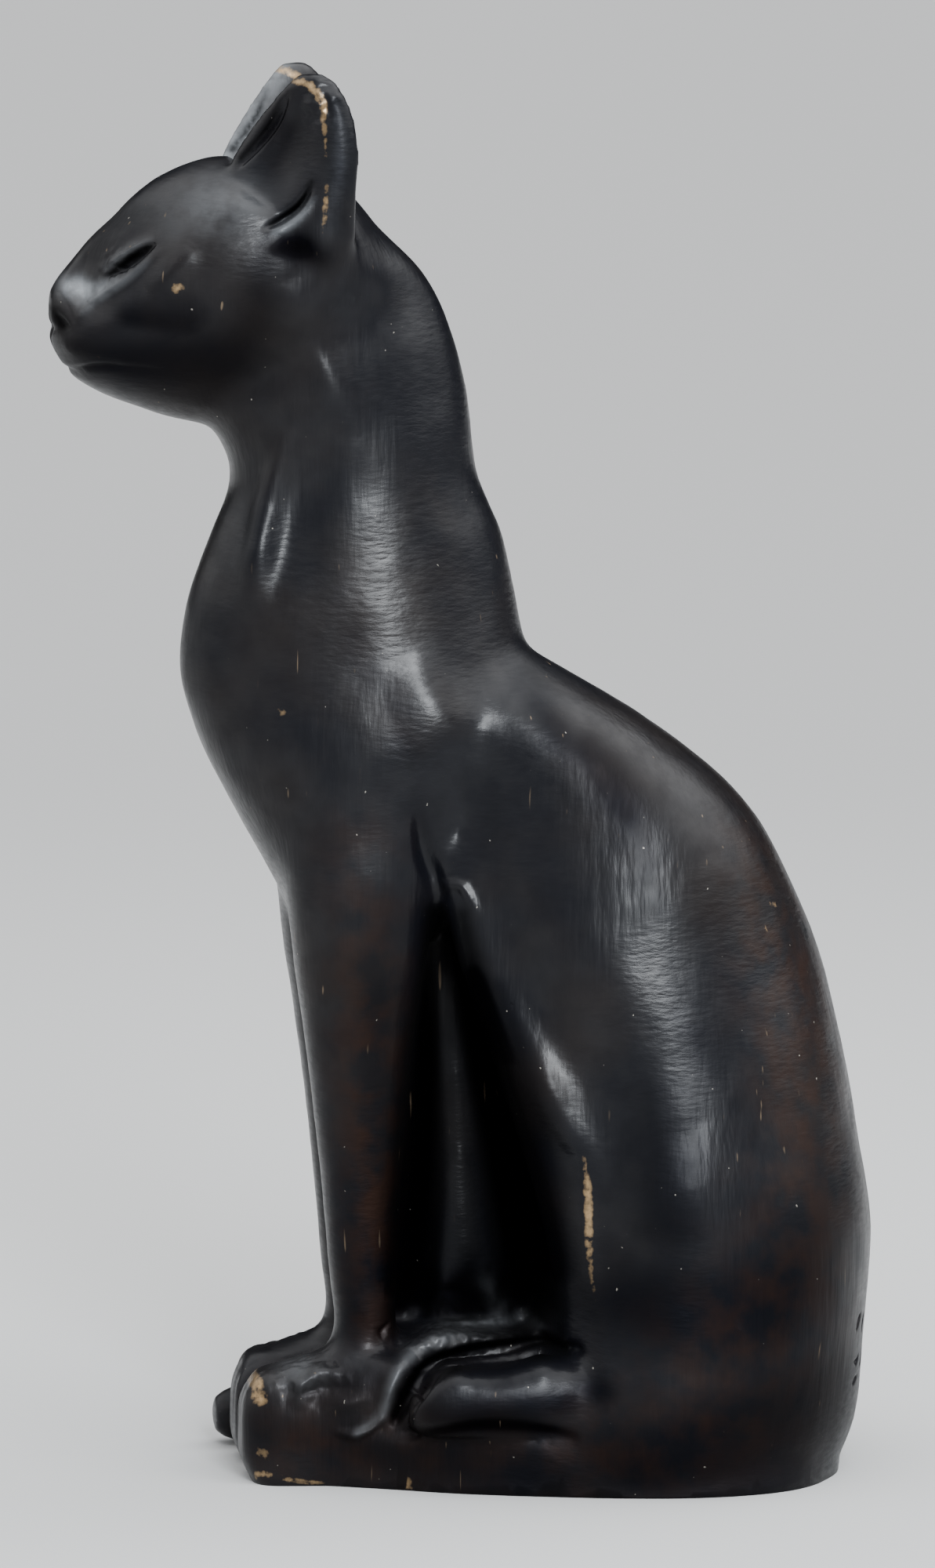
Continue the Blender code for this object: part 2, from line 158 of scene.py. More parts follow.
# %% Body and haunches
standing("body", [
    (-2, 2, 25.4, 13.2, -0.06),
    (0, 2, 26.8, 13.8, -0.06),
    (3.9, 2.5, 28.3, 14.9, -0.06),
    (9.6, 4.6, 28.8, 15.5, -0.06),
    (17.4, 5.3, 29.3, 15.4, -0.06),
    (24.2, 3.6, 28.3, 14.8, -0.04),
    (30.9, 1.4, 27.1, 13.9, 0),
    (37.7, -0.8, 25.3, 13, 0),
    (44.4, -3.2, 22.4, 12, 0.14),
    (48.9, -4.8, 19.3, 10.9, 0.22),
    (53.4, -6.2, 13.8, 9.5, 0.2),
    (56.4, -6.6, 9, 7.8, 0.05),
    (59, -6.6, 4.6, 5.4, -0.1),
], 2.2)

# %% [markdown]
# ## The legs and feet
#
# The same table serves the left and the right side: `side` is 1 or -1. Limbs are upright lofts.
# Feet are lofts that run forward, and the front paws are squarer than the rest because the real
# ones are cast as blocks.

# %% Upright limbs: up, front, back, middle, half width
def limb(name, rows, side, square):
    loft(name, [
        ring(
            (side * middle, (front + back) / 2, up),
            (wide, 0, 0), (0, (back - front) / 2, 0), 0, square,
        )
        for up, front, back, middle, wide in eased(rows)
    ])


for side in (1, -1):
    limb("thigh", [
        (0, 6.4, 14, 7.6, 3.4),
        (8, 6.2, 15, 7.8, 3.6),
        (13, 5.9, 16, 8, 3.8),
        (19, 4.8, 16, 8, 3.8),
        (26.4, 2.6, 15, 7.7, 3.6),
        (33.1, 0.4, 13, 7.2, 3.4),
        (40.8, -2, 10, 6.4, 3),
        (46, -3.4, 8, 5.6, 2.6),
    ], side, 2.4)
    limb("front_leg", [
        (5, -10, -4.6, 3.4, 2.9),
        (11.1, -9.6, -5.1, 3.4, 2.7),
        (15.5, -9.9, -5, 3.4, 2.8),
        (22.3, -10.5, -4.6, 3.4, 3),
        (27.7, -11.1, -4.2, 3.5, 3.3),
        (33.1, -11.8, -3.6, 3.7, 3.8),
        (38, -12.5, -2.9, 4, 4.4),
        (43.6, -13.1, -2.2, 4.3, 4.7),
        (50, -13.2, -1, 4.3, 4.2),
        (55, -12, -1, 4, 3.2),
    ], side, 2.3)

# %% Feet: forward, underside, top, middle, half width
def foot(name, rows, side, square):
    loft(name, [
        ring(
            (side * middle, forward, (bottom + top) / 2),
            (wide, 0, 0), (0, 0, (top - bottom) / 2), 0, square,
        )
        for forward, bottom, top, middle, wide in eased(rows)
    ])


for side in (1, -1):
    foot("front_paw", [
        (-2.5, -2, 9, 4.6, 4.2),
        (-5, -2, 9.4, 4.4, 4.1),
        (-8, -2, 9.6, 4, 3.9),
        (-10.5, -2, 9.1, 3.7, 3.7),
        (-12.6, -2, 8.5, 3.6, 3.6),
        (-14.4, -2, 7.8, 3.5, 3.4),
        (-15.7, 0.3, 6.8, 3.3, 3),
        (-16.3, 1.6, 5.6, 3.2, 2.2),
    ], side, 3.4)
    foot("hind_foot", [
        (14, 2, 9, 8.4, 3.2),
        (10, 2.6, 9.4, 9.2, 3.3),
        (5, 3.4, 9.4, 9.8, 3.2),
        (0, 3.8, 8.9, 9.8, 3),
        (-3.2, 4, 8.3, 9.6, 2.7),
        (-4.8, 4.6, 7.2, 9.4, 1.9),
    ], side, 2.4)

# %% [markdown]
# ## The head and ears
#
# The head is a loft along its own length, from the nape to the nose, between a jaw line and a brow
# line. Each ear is a thick leaf set across the skull; its hollow is carved later.

# %% Head: forward, jaw, brow, half width, egg
loft("head", [
    ring((0, forward, (jaw + brow) / 2), (wide, 0, 0), (0, 0, (brow - jaw) / 2), egg)
    for forward, jaw, brow, wide, egg in eased([
        (-4.8, 82, 87.2, 4.4, 0),
        (-6.5, 79.4, 89.6, 6, 0.16),
        (-9, 77.4, 92.2, 7.4, 0.28),
        (-13, 75.6, 93.8, 8.4, 0.3),
        (-17, 75, 94.1, 8.4, 0.24),
        (-20.5, 75.6, 93.1, 7.7, 0.12),
        (-23.5, 76.6, 91.2, 6.4, -0.06),
        (-26, 77.6, 88.7, 5, -0.1),
        (-27.6, 78.6, 86.8, 3.9, -0.08),
        (-28.6, 79.8, 85.6, 2.8, 0),
        (-29.2, 81, 84.6, 1.6, 0),
    ])
])

# %% Ears: up, front rim (across, forward), back rim (across, forward), thickness
for side in (1, -1):
    rings = []
    for up, front_x, front_y, back_x, back_y, thick in eased([
        (84, 4.6, -14.5, 6.6, -8.6, 4.6),
        (88, 4.4, -16.2, 7.8, -8.4, 4.4),
        (91.5, 3.6, -17.2, 8.2, -8.3, 3.8),
        (94, 3.7, -16.6, 8.2, -8.1, 3.2),
        (96, 4.4, -15.5, 8.1, -8.2, 2.7),
        (98, 5.4, -14.1, 7.9, -8.7, 2.2),
        (99.5, 6.1, -12.9, 7.5, -9.5, 1.8),
        (100.2, 6.4, -12.2, 7.1, -10.4, 1.1),
    ]):
        front, back = np.array((side * front_x, front_y)), np.array((side * back_x, back_y))
        along = (back - front) / 2
        out = np.array((along[1], -along[0])) / np.linalg.norm(along) * thick / 2
        rings.append(ring((*(front + back) / 2, up), (*out, 0), (*along, 0)))
    loft("ear", rings)

# %% [markdown]
# ## The tail, the base and the web
#
# The tail leaves the rump low down and lies round the cat's right side, with its tip beside the
# paws. The feet share one low base. Between the legs the founder left a web of metal, which makes
# the gap a blind recess on each side, with a wedge-shaped swelling and a rough floor.

# %% Tail: middle line (across, forward, up) and radius
line = eased([
    (0, 23, 3.4, 2.4),
    (-5.5, 24.8, 3, 2.8),
    (-11, 22.4, 2.8, 2.7),
    (-14.4, 16, 2.7, 2.5),
    (-14.8, 7, 2.5, 2.4),
    (-12.6, -2, 2.4, 2.3),
    (-10.2, -10, 2.3, 2.2),
    (-9.2, -15.4, 2.2, 2),
    (-9, -17.2, 2.2, 1.2),
])
rings = []
for point, way, radius in zip(line[:, :3], np.gradient(line[:, :3], axis=0), line[:, 3]):
    way = way / np.linalg.norm(way)
    level = np.cross(way, (0, 0, 1))
    level = level / np.linalg.norm(level)
    rings.append(ring(point, level * radius, np.cross(level, way) * radius))
loft("tail", rings)

# %% Base: forward and half width of its outline
outline = eased([
    (-15.3, 2.6),
    (-14.2, 5.2),
    (-10, 7.2),
    (-6, 8.8),
    (-2, 10.6),
    (4, 12.4),
    (12, 14),
    (18, 13.8),
    (23, 11.6),
    (26, 7),
    (27, 2.5),
], 3)
BASE_TOP = 3.6
SPARE_DEPTH = 2.0
rim = [(wide, forward) for forward, wide in outline]
rim += [(-wide, forward) for forward, wide in outline[::-1]]
loft("base", [np.array([(x, y, up) for x, y in rim]) for up in (-SPARE_DEPTH, BASE_TOP)])

# %% Web, wedge and floor of the recess
loft("web", [
    ring((0, (front + back) / 2, up), (0.9, 0, 0), (0, (back - front) / 2, 0), 0, 6.0)
    for up, front, back in eased([(8, -6, 9), (20, -6.5, 9), (32, -6, 6), (43, -5, 3)])
])
standing("wedge", [
    (8, -3.2, 3.8, 2.6, 0),
    (12.3, -2.8, 3.2, 2.4, 0),
    (16, -2.4, 2.4, 2.2, 0),
    (20.7, -1.9, 1.4, 2, 0),
    (25.8, -1.4, 0.4, 1.7, 0),
    (33, -1.3, -0.4, 1.4, 0),
    (42, -1.7, -0.9, 1.2, 0),
], 3.0)
standing("floor_of_recess", [
    (0, -8, 9, 8.2, 0),
    (6, -7.5, 8, 7.8, 0),
    (9.2, -6.5, 7, 7, 0),
    (10.4, -5.5, 6, 5.6, 0),
], 3.0)

# %% [markdown]
# ## One skin
#
# A founder casts the figure whole, so the masses have to become one skin. The Remesh modifier
# wraps all of them in small voxels and drops what is inside; Smooth then takes off the steps.

# %% Run modifiers and keep what they make
def finished_by(mesh, add_modifiers):
    lump = bpy.data.objects.new("clay", mesh)
    bpy.context.scene.collection.objects.link(lump)
    add_modifiers(lump)
    shaped = lump.evaluated_get(bpy.context.evaluated_depsgraph_get())
    made = bpy.data.meshes.new_from_object(shaped)
    bpy.data.objects.remove(lump)
    bpy.data.meshes.remove(mesh)
    return made


# %% Fuse the masses
VOXEL = 0.31 * UNIT
SOFTENING_ROUNDS = 11
HALFWAY = 0.5
heap = bmesh.new()
for mesh in clay:
    heap.from_mesh(mesh)
fused = bpy.data.meshes.new("cat")
heap.to_mesh(fused)
heap.free()


def fuse(lump):
    remesh = lump.modifiers.new("fuse", "REMESH")
    remesh.mode = "VOXEL"
    remesh.voxel_size = VOXEL
    smooth = lump.modifiers.new("soften", "SMOOTH")
    smooth.factor = HALFWAY
    smooth.iterations = SOFTENING_ROUNDS


cat = finished_by(fused, fuse)
print("one skin of", len(cat.vertices), "points")

# %% [markdown]
# ## Rubbing the joins
#
# Neck and head, chest and legs, body and shoulder should flow into each other. A Smooth modifier
# rubs only where a vertex group tells it to, and the group fades out at the edge of each join.

# %% Rub the joins: forward, up, reach
def spots_of(mesh):
    spots = np.empty(len(mesh.vertices) * 3)
    mesh.vertices.foreach_get("co", spots)
    return spots.reshape(-1, 3) / UNIT


JOINS = {
    "head and neck": (-6.0, 78.0, 11.0),
    "throat": (-12.0, 72.0, 9.0),
    "neck and back": (1.0, 55.0, 13.0),
    "back": (7.0, 49.0, 9.0),
    "nape": (-2.6, 86.0, 5.5),
    "shoulder": (-4.0, 47.0, 10.0),
    "chest and leg": (-10.0, 46.0, 9.0),
    "haunch and thigh": (10.0, 26.0, 16.0),
    "leg and paw": (-10.4, 10.2, 3.4),
    "heel": (8.4, 4.6, 3.6),
}
FALL_OFF = 0.7
WEIGHT_STEPS = 10
RUBBING_ROUNDS = 180

spots = spots_of(cat)
weight = np.zeros(len(spots))
for forward, up, reach in JOINS.values():
    gap = np.linalg.norm(spots[:, 1:] - (forward, up), axis=1)
    weight = np.maximum(weight, np.clip(1 - gap / reach, 0, 1) ** FALL_OFF)


def rub(lump):
    group = lump.vertex_groups.new(name="joins")
    for step in range(1, WEIGHT_STEPS + 1):
        rubbed = np.flatnonzero(np.ceil(weight * WEIGHT_STEPS) == step)
        group.add([int(i) for i in rubbed], step / WEIGHT_STEPS, "REPLACE")
    smooth = lump.modifiers.new("rub", "SMOOTH")
    smooth.factor = HALFWAY
    smooth.iterations = RUBBING_ROUNDS
    smooth.vertex_group = "joins"


cat = finished_by(cat, rub)
print("rubbed", int((weight > 0).sum()), "points at", len(JOINS), "joins")

# %% [markdown]
# ## Room for detail
#
# The lids, lips, ears, toes and the nicks of the rump need points closer together than the flank
# does, so only those places are subdivided: the face and the nicks finely, the others once.

# %% Subdivide where the detail is fine
FINE_CUTS = 2


def places(mesh):
    """How far out to either side, how far forward and how high each point lies."""
    spots = spots_of(mesh)
    return np.abs(spots[:, 0]), spots[:, 1], spots[:, 2]


def subdivide_where(mesh, wanted, cuts):
    work = bmesh.new()
    work.from_mesh(mesh)
    work.verts.ensure_lookup_table()
    edges = [edge for edge in work.edges if all(wanted[vertex.index] for vertex in edge.verts)]
    bmesh.ops.subdivide_edges(work, edges=edges, cuts=cuts, use_grid_fill=True)
    work.to_mesh(mesh)
    work.free()


across, forward, up = places(cat)
subdivide_where(cat, (forward < -21.5) & (up > 77.5), FINE_CUTS)
spots = spots_of(cat)
nicks = (spots[:, 1] > 23) & (abs(spots[:, 0] - 6.4) < 2.6) & (abs(spots[:, 2] - 9.2) < 4.0)
subdivide_where(cat, nicks, FINE_CUTS)
across, forward, up = places(cat)
ears = (up > 88.0) & (across > 4.5) & (forward > -18.0)
feet = (up < 14.0) & (up > 1.0) & (forward < 6.5)
elbow = (np.abs(forward + 2.5) < 3.5) & (np.abs(up - 44) < 6)
subdivide_where(cat, ears | feet | elbow, 1)
print("now", len(cat.vertices), "points")

# %% [markdown]
# ## Carving
#
# A stroke is a path with a breadth and a depth, drawn as seen from the side or from the front, and
# cut to the same depth on both sides of the cat. A depth below nought raises the metal instead.
# Only skin that faces the viewer is cut.

# %% Push the skin in along strokes
BREADTHS_FELT = 3.5
SIDEWAYS, UPWARDS = 0.9, 0.4
FACING_GAIN = 2.5


def cut_of(seen, path):
    """How deep a stroke goes at each spot: its depth on the path, fading over its breadth."""
    margin = BREADTHS_FELT * path[:, 2].max()
    least, most = path[:, :2].min(0) - margin, path[:, :2].max(0) + margin
    near = np.all((seen > least) & (seen < most), axis=1)
    close = seen[near]
    best = np.full(len(close), np.inf)
    breadth, depth = np.ones(len(close)), np.zeros(len(close))
    for start, end in zip(path, path[1:]):
        way = end[:2] - start[:2]
        share = np.clip((close - start[:2]) @ way / max(way @ way, 1e-9), 0, 1)
        gap = np.linalg.norm(close - start[:2] - share[:, None] * way, axis=1)
        nearer = gap < best
        best[nearer] = gap[nearer]
        here = start[2:] + share[nearer, None] * (end[2:] - start[2:])
        breadth[nearer], depth[nearer] = here.T
    cut = np.zeros(len(seen))
    cut[near] = depth * np.exp(-((best / np.maximum(breadth, 0.05)) ** 2))
    return cut


def normals_of(mesh):
    normals = np.empty(len(mesh.vertices) * 3)
    mesh.vertices.foreach_get("normal", normals)
    return normals.reshape(-1, 3)


def move(mesh, push):
    """Moves each point inwards along its normal by push, in units."""
    moved = (spots_of(mesh) - normals_of(mesh) * push[:, None]) * UNIT
    mesh.vertices.foreach_set("co", moved.ravel())
    mesh.update()


def carve(mesh, view, strokes):
    spots, normals = spots_of(mesh), normals_of(mesh)
    if view == "side":
        seen = spots[:, 1:]
        outwards = normals[:, 0] * np.where(spots[:, 0] < 0, -1, 1)
        facing = outwards * SIDEWAYS + normals[:, 2] * UPWARDS
    elif view == "front":
        seen, facing = np.stack([np.abs(spots[:, 0]), spots[:, 2]], 1), -normals[:, 1]
    else:
        seen, facing = spots[:, [0, 2]], normals[:, 1]
    push = np.zeros(len(spots))
    for rows in strokes.values():
        push += cut_of(seen, eased(rows, 2))
    move(mesh, push * np.clip(facing * FACING_GAIN, 0, 1))
    print("carved", ", ".join(strokes))


# %% File facets flat
def direction(azimuth, elevation):
    """A way in degrees: 0 is ahead of the cat, 90 is its left, and elevation is upward."""
    a, e = math.radians(azimuth), math.radians(elevation)
    return np.array((math.sin(a) * math.cos(e), -math.cos(a) * math.cos(e), math.sin(e)))


def file_flat(mesh, facets):
    """Takes the skin down to a plane: its middle, the way it faces, its depth and its reach."""
    spots = spots_of(mesh)
    sides = np.where(spots[:, :1] < 0, -1.0, 1.0) * (1, 0, 0) + (0, 1, 1)
    mirrored = spots * sides
    for across, forward, up, azimuth, elevation, depth, reach in facets.values():
        faces = direction(azimuth, elevation)
        gap = mirrored - (across, forward, up)
        above = np.maximum(gap @ faces + depth, 0)
        fade = np.clip(1 - np.linalg.norm(gap, axis=1) / reach, 0, 1)
        fade = fade * fade * (3 - 2 * fade)
        mirrored = mirrored - np.outer(np.minimum(above, 2 * depth) * fade, faces)
    mesh.vertices.foreach_set("co", (mirrored * sides * UNIT).ravel())
    mesh.update()
    print("filed", ", ".join(facets))


# %% [markdown]
# ### The face
#
# The eye is a slanting almond with a rough hollow. Below it a raised edge runs from its outer
# corner down to the muzzle, and the plane above that edge is filed flat, so it catches the light.
# A soft cheekbone stands behind the eye, and the mouth is one shallow line below the whisker pad.

# %% File the planes of the face
file_flat(cat, {
    "side of muzzle": (2.9, -26.7, 85.2, 78, 38, 0.50, 4.0),
})

# %% Carve the face: forward, up, breadth, depth
carve(cat, "side", {
    "eye": [
        (-25.5, 85.9, 0.1, 0.1), (-24.8, 86.45, 0.2, 0.6), (-23.9, 87.15, 0.26, 0.85),
        (-23.1, 87.75, 0.22, 0.7), (-22.2, 88.3, 0.1, 0.1),
    ],
    "upper lid": [
        (-25.6, 86.4, 0.2, -0.02), (-24.9, 87, 0.2, -0.16), (-24, 87.7, 0.2, -0.22),
        (-23, 88.3, 0.2, -0.18), (-22.1, 88.7, 0.2, -0.02),
    ],
    "above the lid": [(-24.6, 88, 0.4, 0.08), (-23.4, 88.9, 0.45, 0.16), (-22.2, 89.4, 0.45, 0.05)],
    "edge of cheek": [
        (-21.6, 88, 0.28, -0.04), (-22.6, 87.2, 0.28, -0.16), (-24.2, 85.8, 0.28, -0.22),
        (-25.4, 84.9, 0.28, -0.24), (-26.5, 84, 0.28, -0.2), (-27.3, 83.2, 0.26, -0.08),
    ],
    "below the edge": [(-23.4, 85.4, 0.8, 0.05), (-25.2, 84.1, 0.8, 0.1), (-26.8, 83, 0.7, 0.05)],
    "wing of nose": [
        (-28.6, 84.6, 0.2, 0.05), (-28.2, 83.9, 0.2, 0.16), (-27.9, 83.1, 0.2, 0.12),
        (-27.8, 82.5, 0.18, 0.02),
    ],
    "nostril": [
        (-29, 83.2, 0.26, 0.1), (-28.7, 82.8, 0.3, 0.3), (-28.3, 82.4, 0.28, 0.25),
        (-28, 82.1, 0.24, 0.05),
    ],
    "whisker pad": [(-28, 81, 0.9, -0.3), (-26.8, 81, 0.95, -0.24), (-25.2, 81.1, 1.1, -0.1)],
    "mouth": [
        (-28, 79.2, 0.24, 0.2), (-26.7, 79.5, 0.24, 0.24), (-25.3, 79.7, 0.26, 0.2),
        (-23.7, 79.6, 0.28, 0.12), (-21, 79.4, 0.3, 0.03),
    ],
    "cheekbone": [
        (-22.2, 84.8, 0.8, -0.05), (-21.4, 86, 0.9, -0.42), (-20.4, 87.4, 0.95, -0.42),
        (-19.4, 88.4, 0.9, -0.05),
    ],
    "temple": [
        (-20, 90.6, 1.4, -0.1), (-17.8, 91, 1.4, -0.2), (-15.8, 90.9, 1.1, -0.26),
        (-14.9, 91, 0.9, -0.26), (-14, 91.3, 0.8, -0.05),
    ],
    "hollow of brow": [(-25.6, 88.6, 0.7, 0.05), (-24.2, 90, 0.9, 0.22), (-22.4, 91.2, 1, 0.05)],
})
carve(cat, "front", {
    "philtrum": [(0, 82.6, 0.26, 0.15), (0, 81.4, 0.26, 0.4), (0, 79.8, 0.3, 0.3)],
    "under the nose": [(0, 82, 0.4, 0.25), (1.4, 82.1, 0.4, 0.2), (2.6, 82.3, 0.3, 0.05)],
    "front of mouth": [(0, 79.2, 0.3, 0.2), (1.5, 79, 0.3, 0.2), (2.6, 79.2, 0.25, 0.1)],
})

# %% [markdown]
# ### The ears
#
# A crease follows the ear's front rim, and the inside is broad and shallow and runs out on the
# temple. The back rim is a wide band. At the ear's foot lies a small notch with a raised lobe.

# %% Carve the ears: forward, up, breadth, depth
carve(cat, "side", {
    "inside": [
        (-15.2, 90.6, 1.2, 0.15), (-14.5, 92.3, 1.7, 0.5), (-13.6, 94.4, 1.7, 0.8),
        (-13, 96.5, 1.3, 0.8), (-12.5, 98.3, 0.8, 0.3),
    ],
    "crease": [
        (-16.4, 93.6, 0.2, 0.1), (-15.9, 94.3, 0.22, 0.45), (-15, 95.4, 0.22, 0.6),
        (-14.1, 96.7, 0.22, 0.6), (-13.4, 98, 0.2, 0.4), (-13, 99, 0.18, 0.05),
    ],
    "back band": [
        (-10.6, 99.2, 1, -0.05), (-9.8, 97.4, 1.2, -0.16), (-9.6, 95, 1.2, -0.2),
        (-9.8, 92.5, 1.2, -0.18), (-10.4, 89.5, 1.2, -0.08),
    ],
    "notch": [
        (-14.6, 89.6, 0.22, 0.1), (-13.4, 90.2, 0.28, 0.6), (-12.4, 90.9, 0.28, 0.6),
        (-11.8, 91.7, 0.24, 0.4), (-11.4, 92.5, 0.22, 0.05),
    ],
    "lobe": [
        (-14.2, 89.3, 0.35, -0.05), (-13.3, 89.6, 0.45, -0.25), (-12.3, 90.3, 0.45, -0.28),
        (-11.4, 91.6, 0.4, -0.08),
    ],
})

# %% [markdown]
# ### The body
#
# On the neck a tendon stands out where its side turns to the front, and a soft edge comes down
# from behind the jaw. The top of the shoulder is raised, so that the light hooks round it. The
# thigh's front edge is a long ridge from the elbow over the knee to the hind foot, with a hollow
# behind the knee. A gouge and a small point set off the elbow, and two pockets deepen the recess.

# %% Carve the body: forward, up, breadth, depth
carve(cat, "side", {
    "tendon": [
        (-13.1, 75.6, 0.9, 0), (-13.4, 73.6, 0.9, -0.46), (-13.8, 71.4, 0.9, -0.84),
        (-14.3, 69, 0.95, -1.02), (-14.8, 66.6, 1, -1.06), (-15.3, 64.4, 1.1, -0.7),
        (-15.6, 61.6, 1.2, 0),
    ],
    "behind the tendon": [
        (-10.5, 75.6, 1.5, 0.05), (-10.9, 72, 1.6, 0.26), (-12, 68, 1.7, 0.26),
        (-12.6, 64, 1.7, 0.02),
    ],
    "edge of neck": [
        (-13.2, 86, 1.4, -0.05), (-12.4, 84.2, 1.45, -0.46), (-11.2, 81.4, 1.5, -0.58),
        (-9.8, 78.4, 1.5, -0.46), (-8.2, 74.6, 1.5, -0.05),
    ],
    "top of shoulder": [
        (-5, 59.4, 1.6, 0), (-3.4, 56.8, 1.8, -0.34), (-1.6, 54.9, 1.8, -0.4),
        (0.6, 54, 1.6, -0.14), (2.4, 53.4, 1.5, 0),
    ],
    "swell of haunch": [
        (12, 26, 4, -0.1), (13, 22, 5, -0.5), (13.6, 18.6, 5, -0.25), (13.6, 15, 4, -0.02),
    ],
    "elbow": [
        (-4.1, 48.6, 0.45, 0.05), (-3.8, 47.2, 0.6, 0.4), (-3.4, 45.6, 0.65, 0.65),
        (-2.9, 44, 0.6, 0.65), (-2.4, 42.2, 0.5, 0.25),
    ],
    "point of elbow": [(-1.9, 43.1, 0.4, -0.2), (-0.8, 43, 0.4, -0.3), (0, 41.4, 0.4, -0.1)],
    "front of thigh": [
        (-1.2, 42.4, 1.2, -0.02), (0.2, 38.5, 1.2, -0.08), (2.2, 34.8, 1.2, -0.2),
        (3.9, 31.9, 1.7, -0.8), (5.1, 29.2, 1.75, -1.36), (6.5, 26.3, 1.45, -1.12),
        (7.6, 24.2, 1.1, -0.7), (7.6, 21, 0.85, -0.55), (7.7, 17.5, 0.85, -0.45),
        (8.4, 14, 0.85, -0.22), (9, 11.5, 0.8, 0),
    ],
    "hollow of knee": [
        (6.6, 33.4, 1.4, 0.05), (8.6, 30, 2, 0.3), (9.9, 27, 2, 0.38), (10.2, 24, 1.8, 0.3),
        (9.9, 20, 1.3, 0.25), (10.4, 15, 1.4, 0.05),
    ],
    "front pocket": [
        (-2.7, 38, 0.5, 0.1), (-3.2, 31, 0.9, 0.5), (-3.6, 22, 1.1, 0.62), (-4, 14, 1.1, 0.62),
        (-4.2, 11, 0.8, 0.2),
    ],
    "back pocket": [
        (-0.2, 39, 0.5, 0.1), (1.2, 31, 0.9, 0.5), (2.8, 23, 1.1, 0.62), (4.4, 15, 1.2, 0.62),
        (4.6, 12, 0.9, 0.3),
    ],
})

# %% [markdown]
# ### The feet
#
# A deep groove under a thick lip goes round the hind foot, and a shallower one runs under its
# sole. Knuckle and heel stand out a little and catch the light. The front paw is cast as a block
# with its toes only hinted at.

# %% Carve the feet: forward (from the front: across), up, breadth, depth
carve(cat, "side", {
    "lip": [
        (5, 10.8, 0.5, -0.1), (1.2, 10.7, 0.55, -0.3), (-1.5, 10.4, 0.55, -0.35),
        (-3.6, 9.7, 0.55, -0.35), (-5, 8.7, 0.5, -0.35), (-6, 7, 0.45, -0.3), (-6.6, 5, 0.4, -0.1),
    ],
    "groove": [
        (7, 10.2, 0.35, 0.4), (3, 9.9, 0.45, 1), (0, 9.7, 0.5, 1.2), (-2.3, 9.1, 0.5, 1.2),
        (-3.9, 8.1, 0.5, 1.1), (-5, 6.6, 0.45, 1), (-5.6, 4.8, 0.35, 0.4),
    ],
    "knuckle": [(-2.8, 8.2, 0.95, -0.34), (-1.6, 8.6, 0.95, -0.5), (-0.4, 8.7, 0.9, -0.16)],
    "heel": [(3.4, 9.2, 0.9, -0.2), (4.6, 9.3, 0.95, -0.44), (5.8, 9.2, 0.9, -0.16)],
    "sole": [
        (-4.2, 4.5, 0.5, 0.1), (-2.6, 4.8, 0.55, 0.32), (-0.4, 5.2, 0.6, 0.42),
        (1.6, 5.3, 0.6, 0.42), (4, 5, 0.6, 0.32), (6.4, 4.4, 0.6, 0.1),
    ],
    "flap": [
        (-9.6, 3.9, 0.26, -0.1), (-8.6, 3.8, 0.28, -0.4), (-7.4, 4.2, 0.28, -0.3),
        (-6.6, 5, 0.24, -0.1),
    ],
    "knob": [(-15.8, 6.6, 0.7, -0.05), (-14.9, 7.4, 0.75, -0.35), (-13.6, 7.6, 0.6, -0.1)],
    "behind the knob": [(-13.4, 7.8, 0.4, 0.1), (-13.1, 7.2, 0.45, 0.3), (-13.2, 6.2, 0.45, 0.05)],
    "ridge of paw": [
        (-12.6, 6.6, 0.45, -0.1), (-12, 7.4, 0.5, -0.45), (-10.8, 8, 0.5, -0.45),
        (-9.4, 8.2, 0.5, -0.1),
    ],
    "below the ridge": [
        (-11.8, 5.8, 0.6, 0.06), (-10.9, 6.7, 0.65, 0.26), (-9.7, 7.1, 0.65, 0.24),
        (-8.7, 7.2, 0.6, 0.06),
    ],
    "second ridge": [(-10.2, 5.8, 0.5, -0.1), (-9, 6, 0.55, -0.25), (-7.8, 6.4, 0.5, -0.1)],
    "foot of wedge": [
        (-2.8, 11.6, 0.5, 0.12), (-1.4, 12.8, 0.55, 0.28), (-0.2, 12.6, 0.55, 0.28),
        (0.9, 11.4, 0.5, 0.16),
    ],
    "lump": [(1.5, 14.4, 0.7, -0.1), (1.9, 12.8, 0.9, -0.3), (2.6, 11.6, 0.8, -0.25)],
})
carve(cat, "front", {
    "inner toe": [(2.1, 6.8, 0.5, 0.05), (2.1, 5, 0.55, 0.16), (2.1, 3, 0.55, 0.05)],
    "outer toe": [(3.9, 6.6, 0.5, 0.03), (3.9, 5, 0.55, 0.08), (3.9, 3, 0.55, 0.03)],
    "hind inner toe": [(8.9, 7.6, 0.35, 0.1), (8.9, 6, 0.35, 0.35), (8.9, 4.8, 0.35, 0.1)],
    "hind outer toe": [(10.3, 7.6, 0.35, 0.1), (10.3, 6, 0.35, 0.35), (10.3, 4.8, 0.35, 0.1)],
})

# %% [markdown]
# ### Marks at the back
#
# Low on the left of the rump are two rows of small shallow strokes. They are no letters, only
# nicks like those that a punch or a chisel leaves. These lie on one side, so they are drawn from
# the rear.

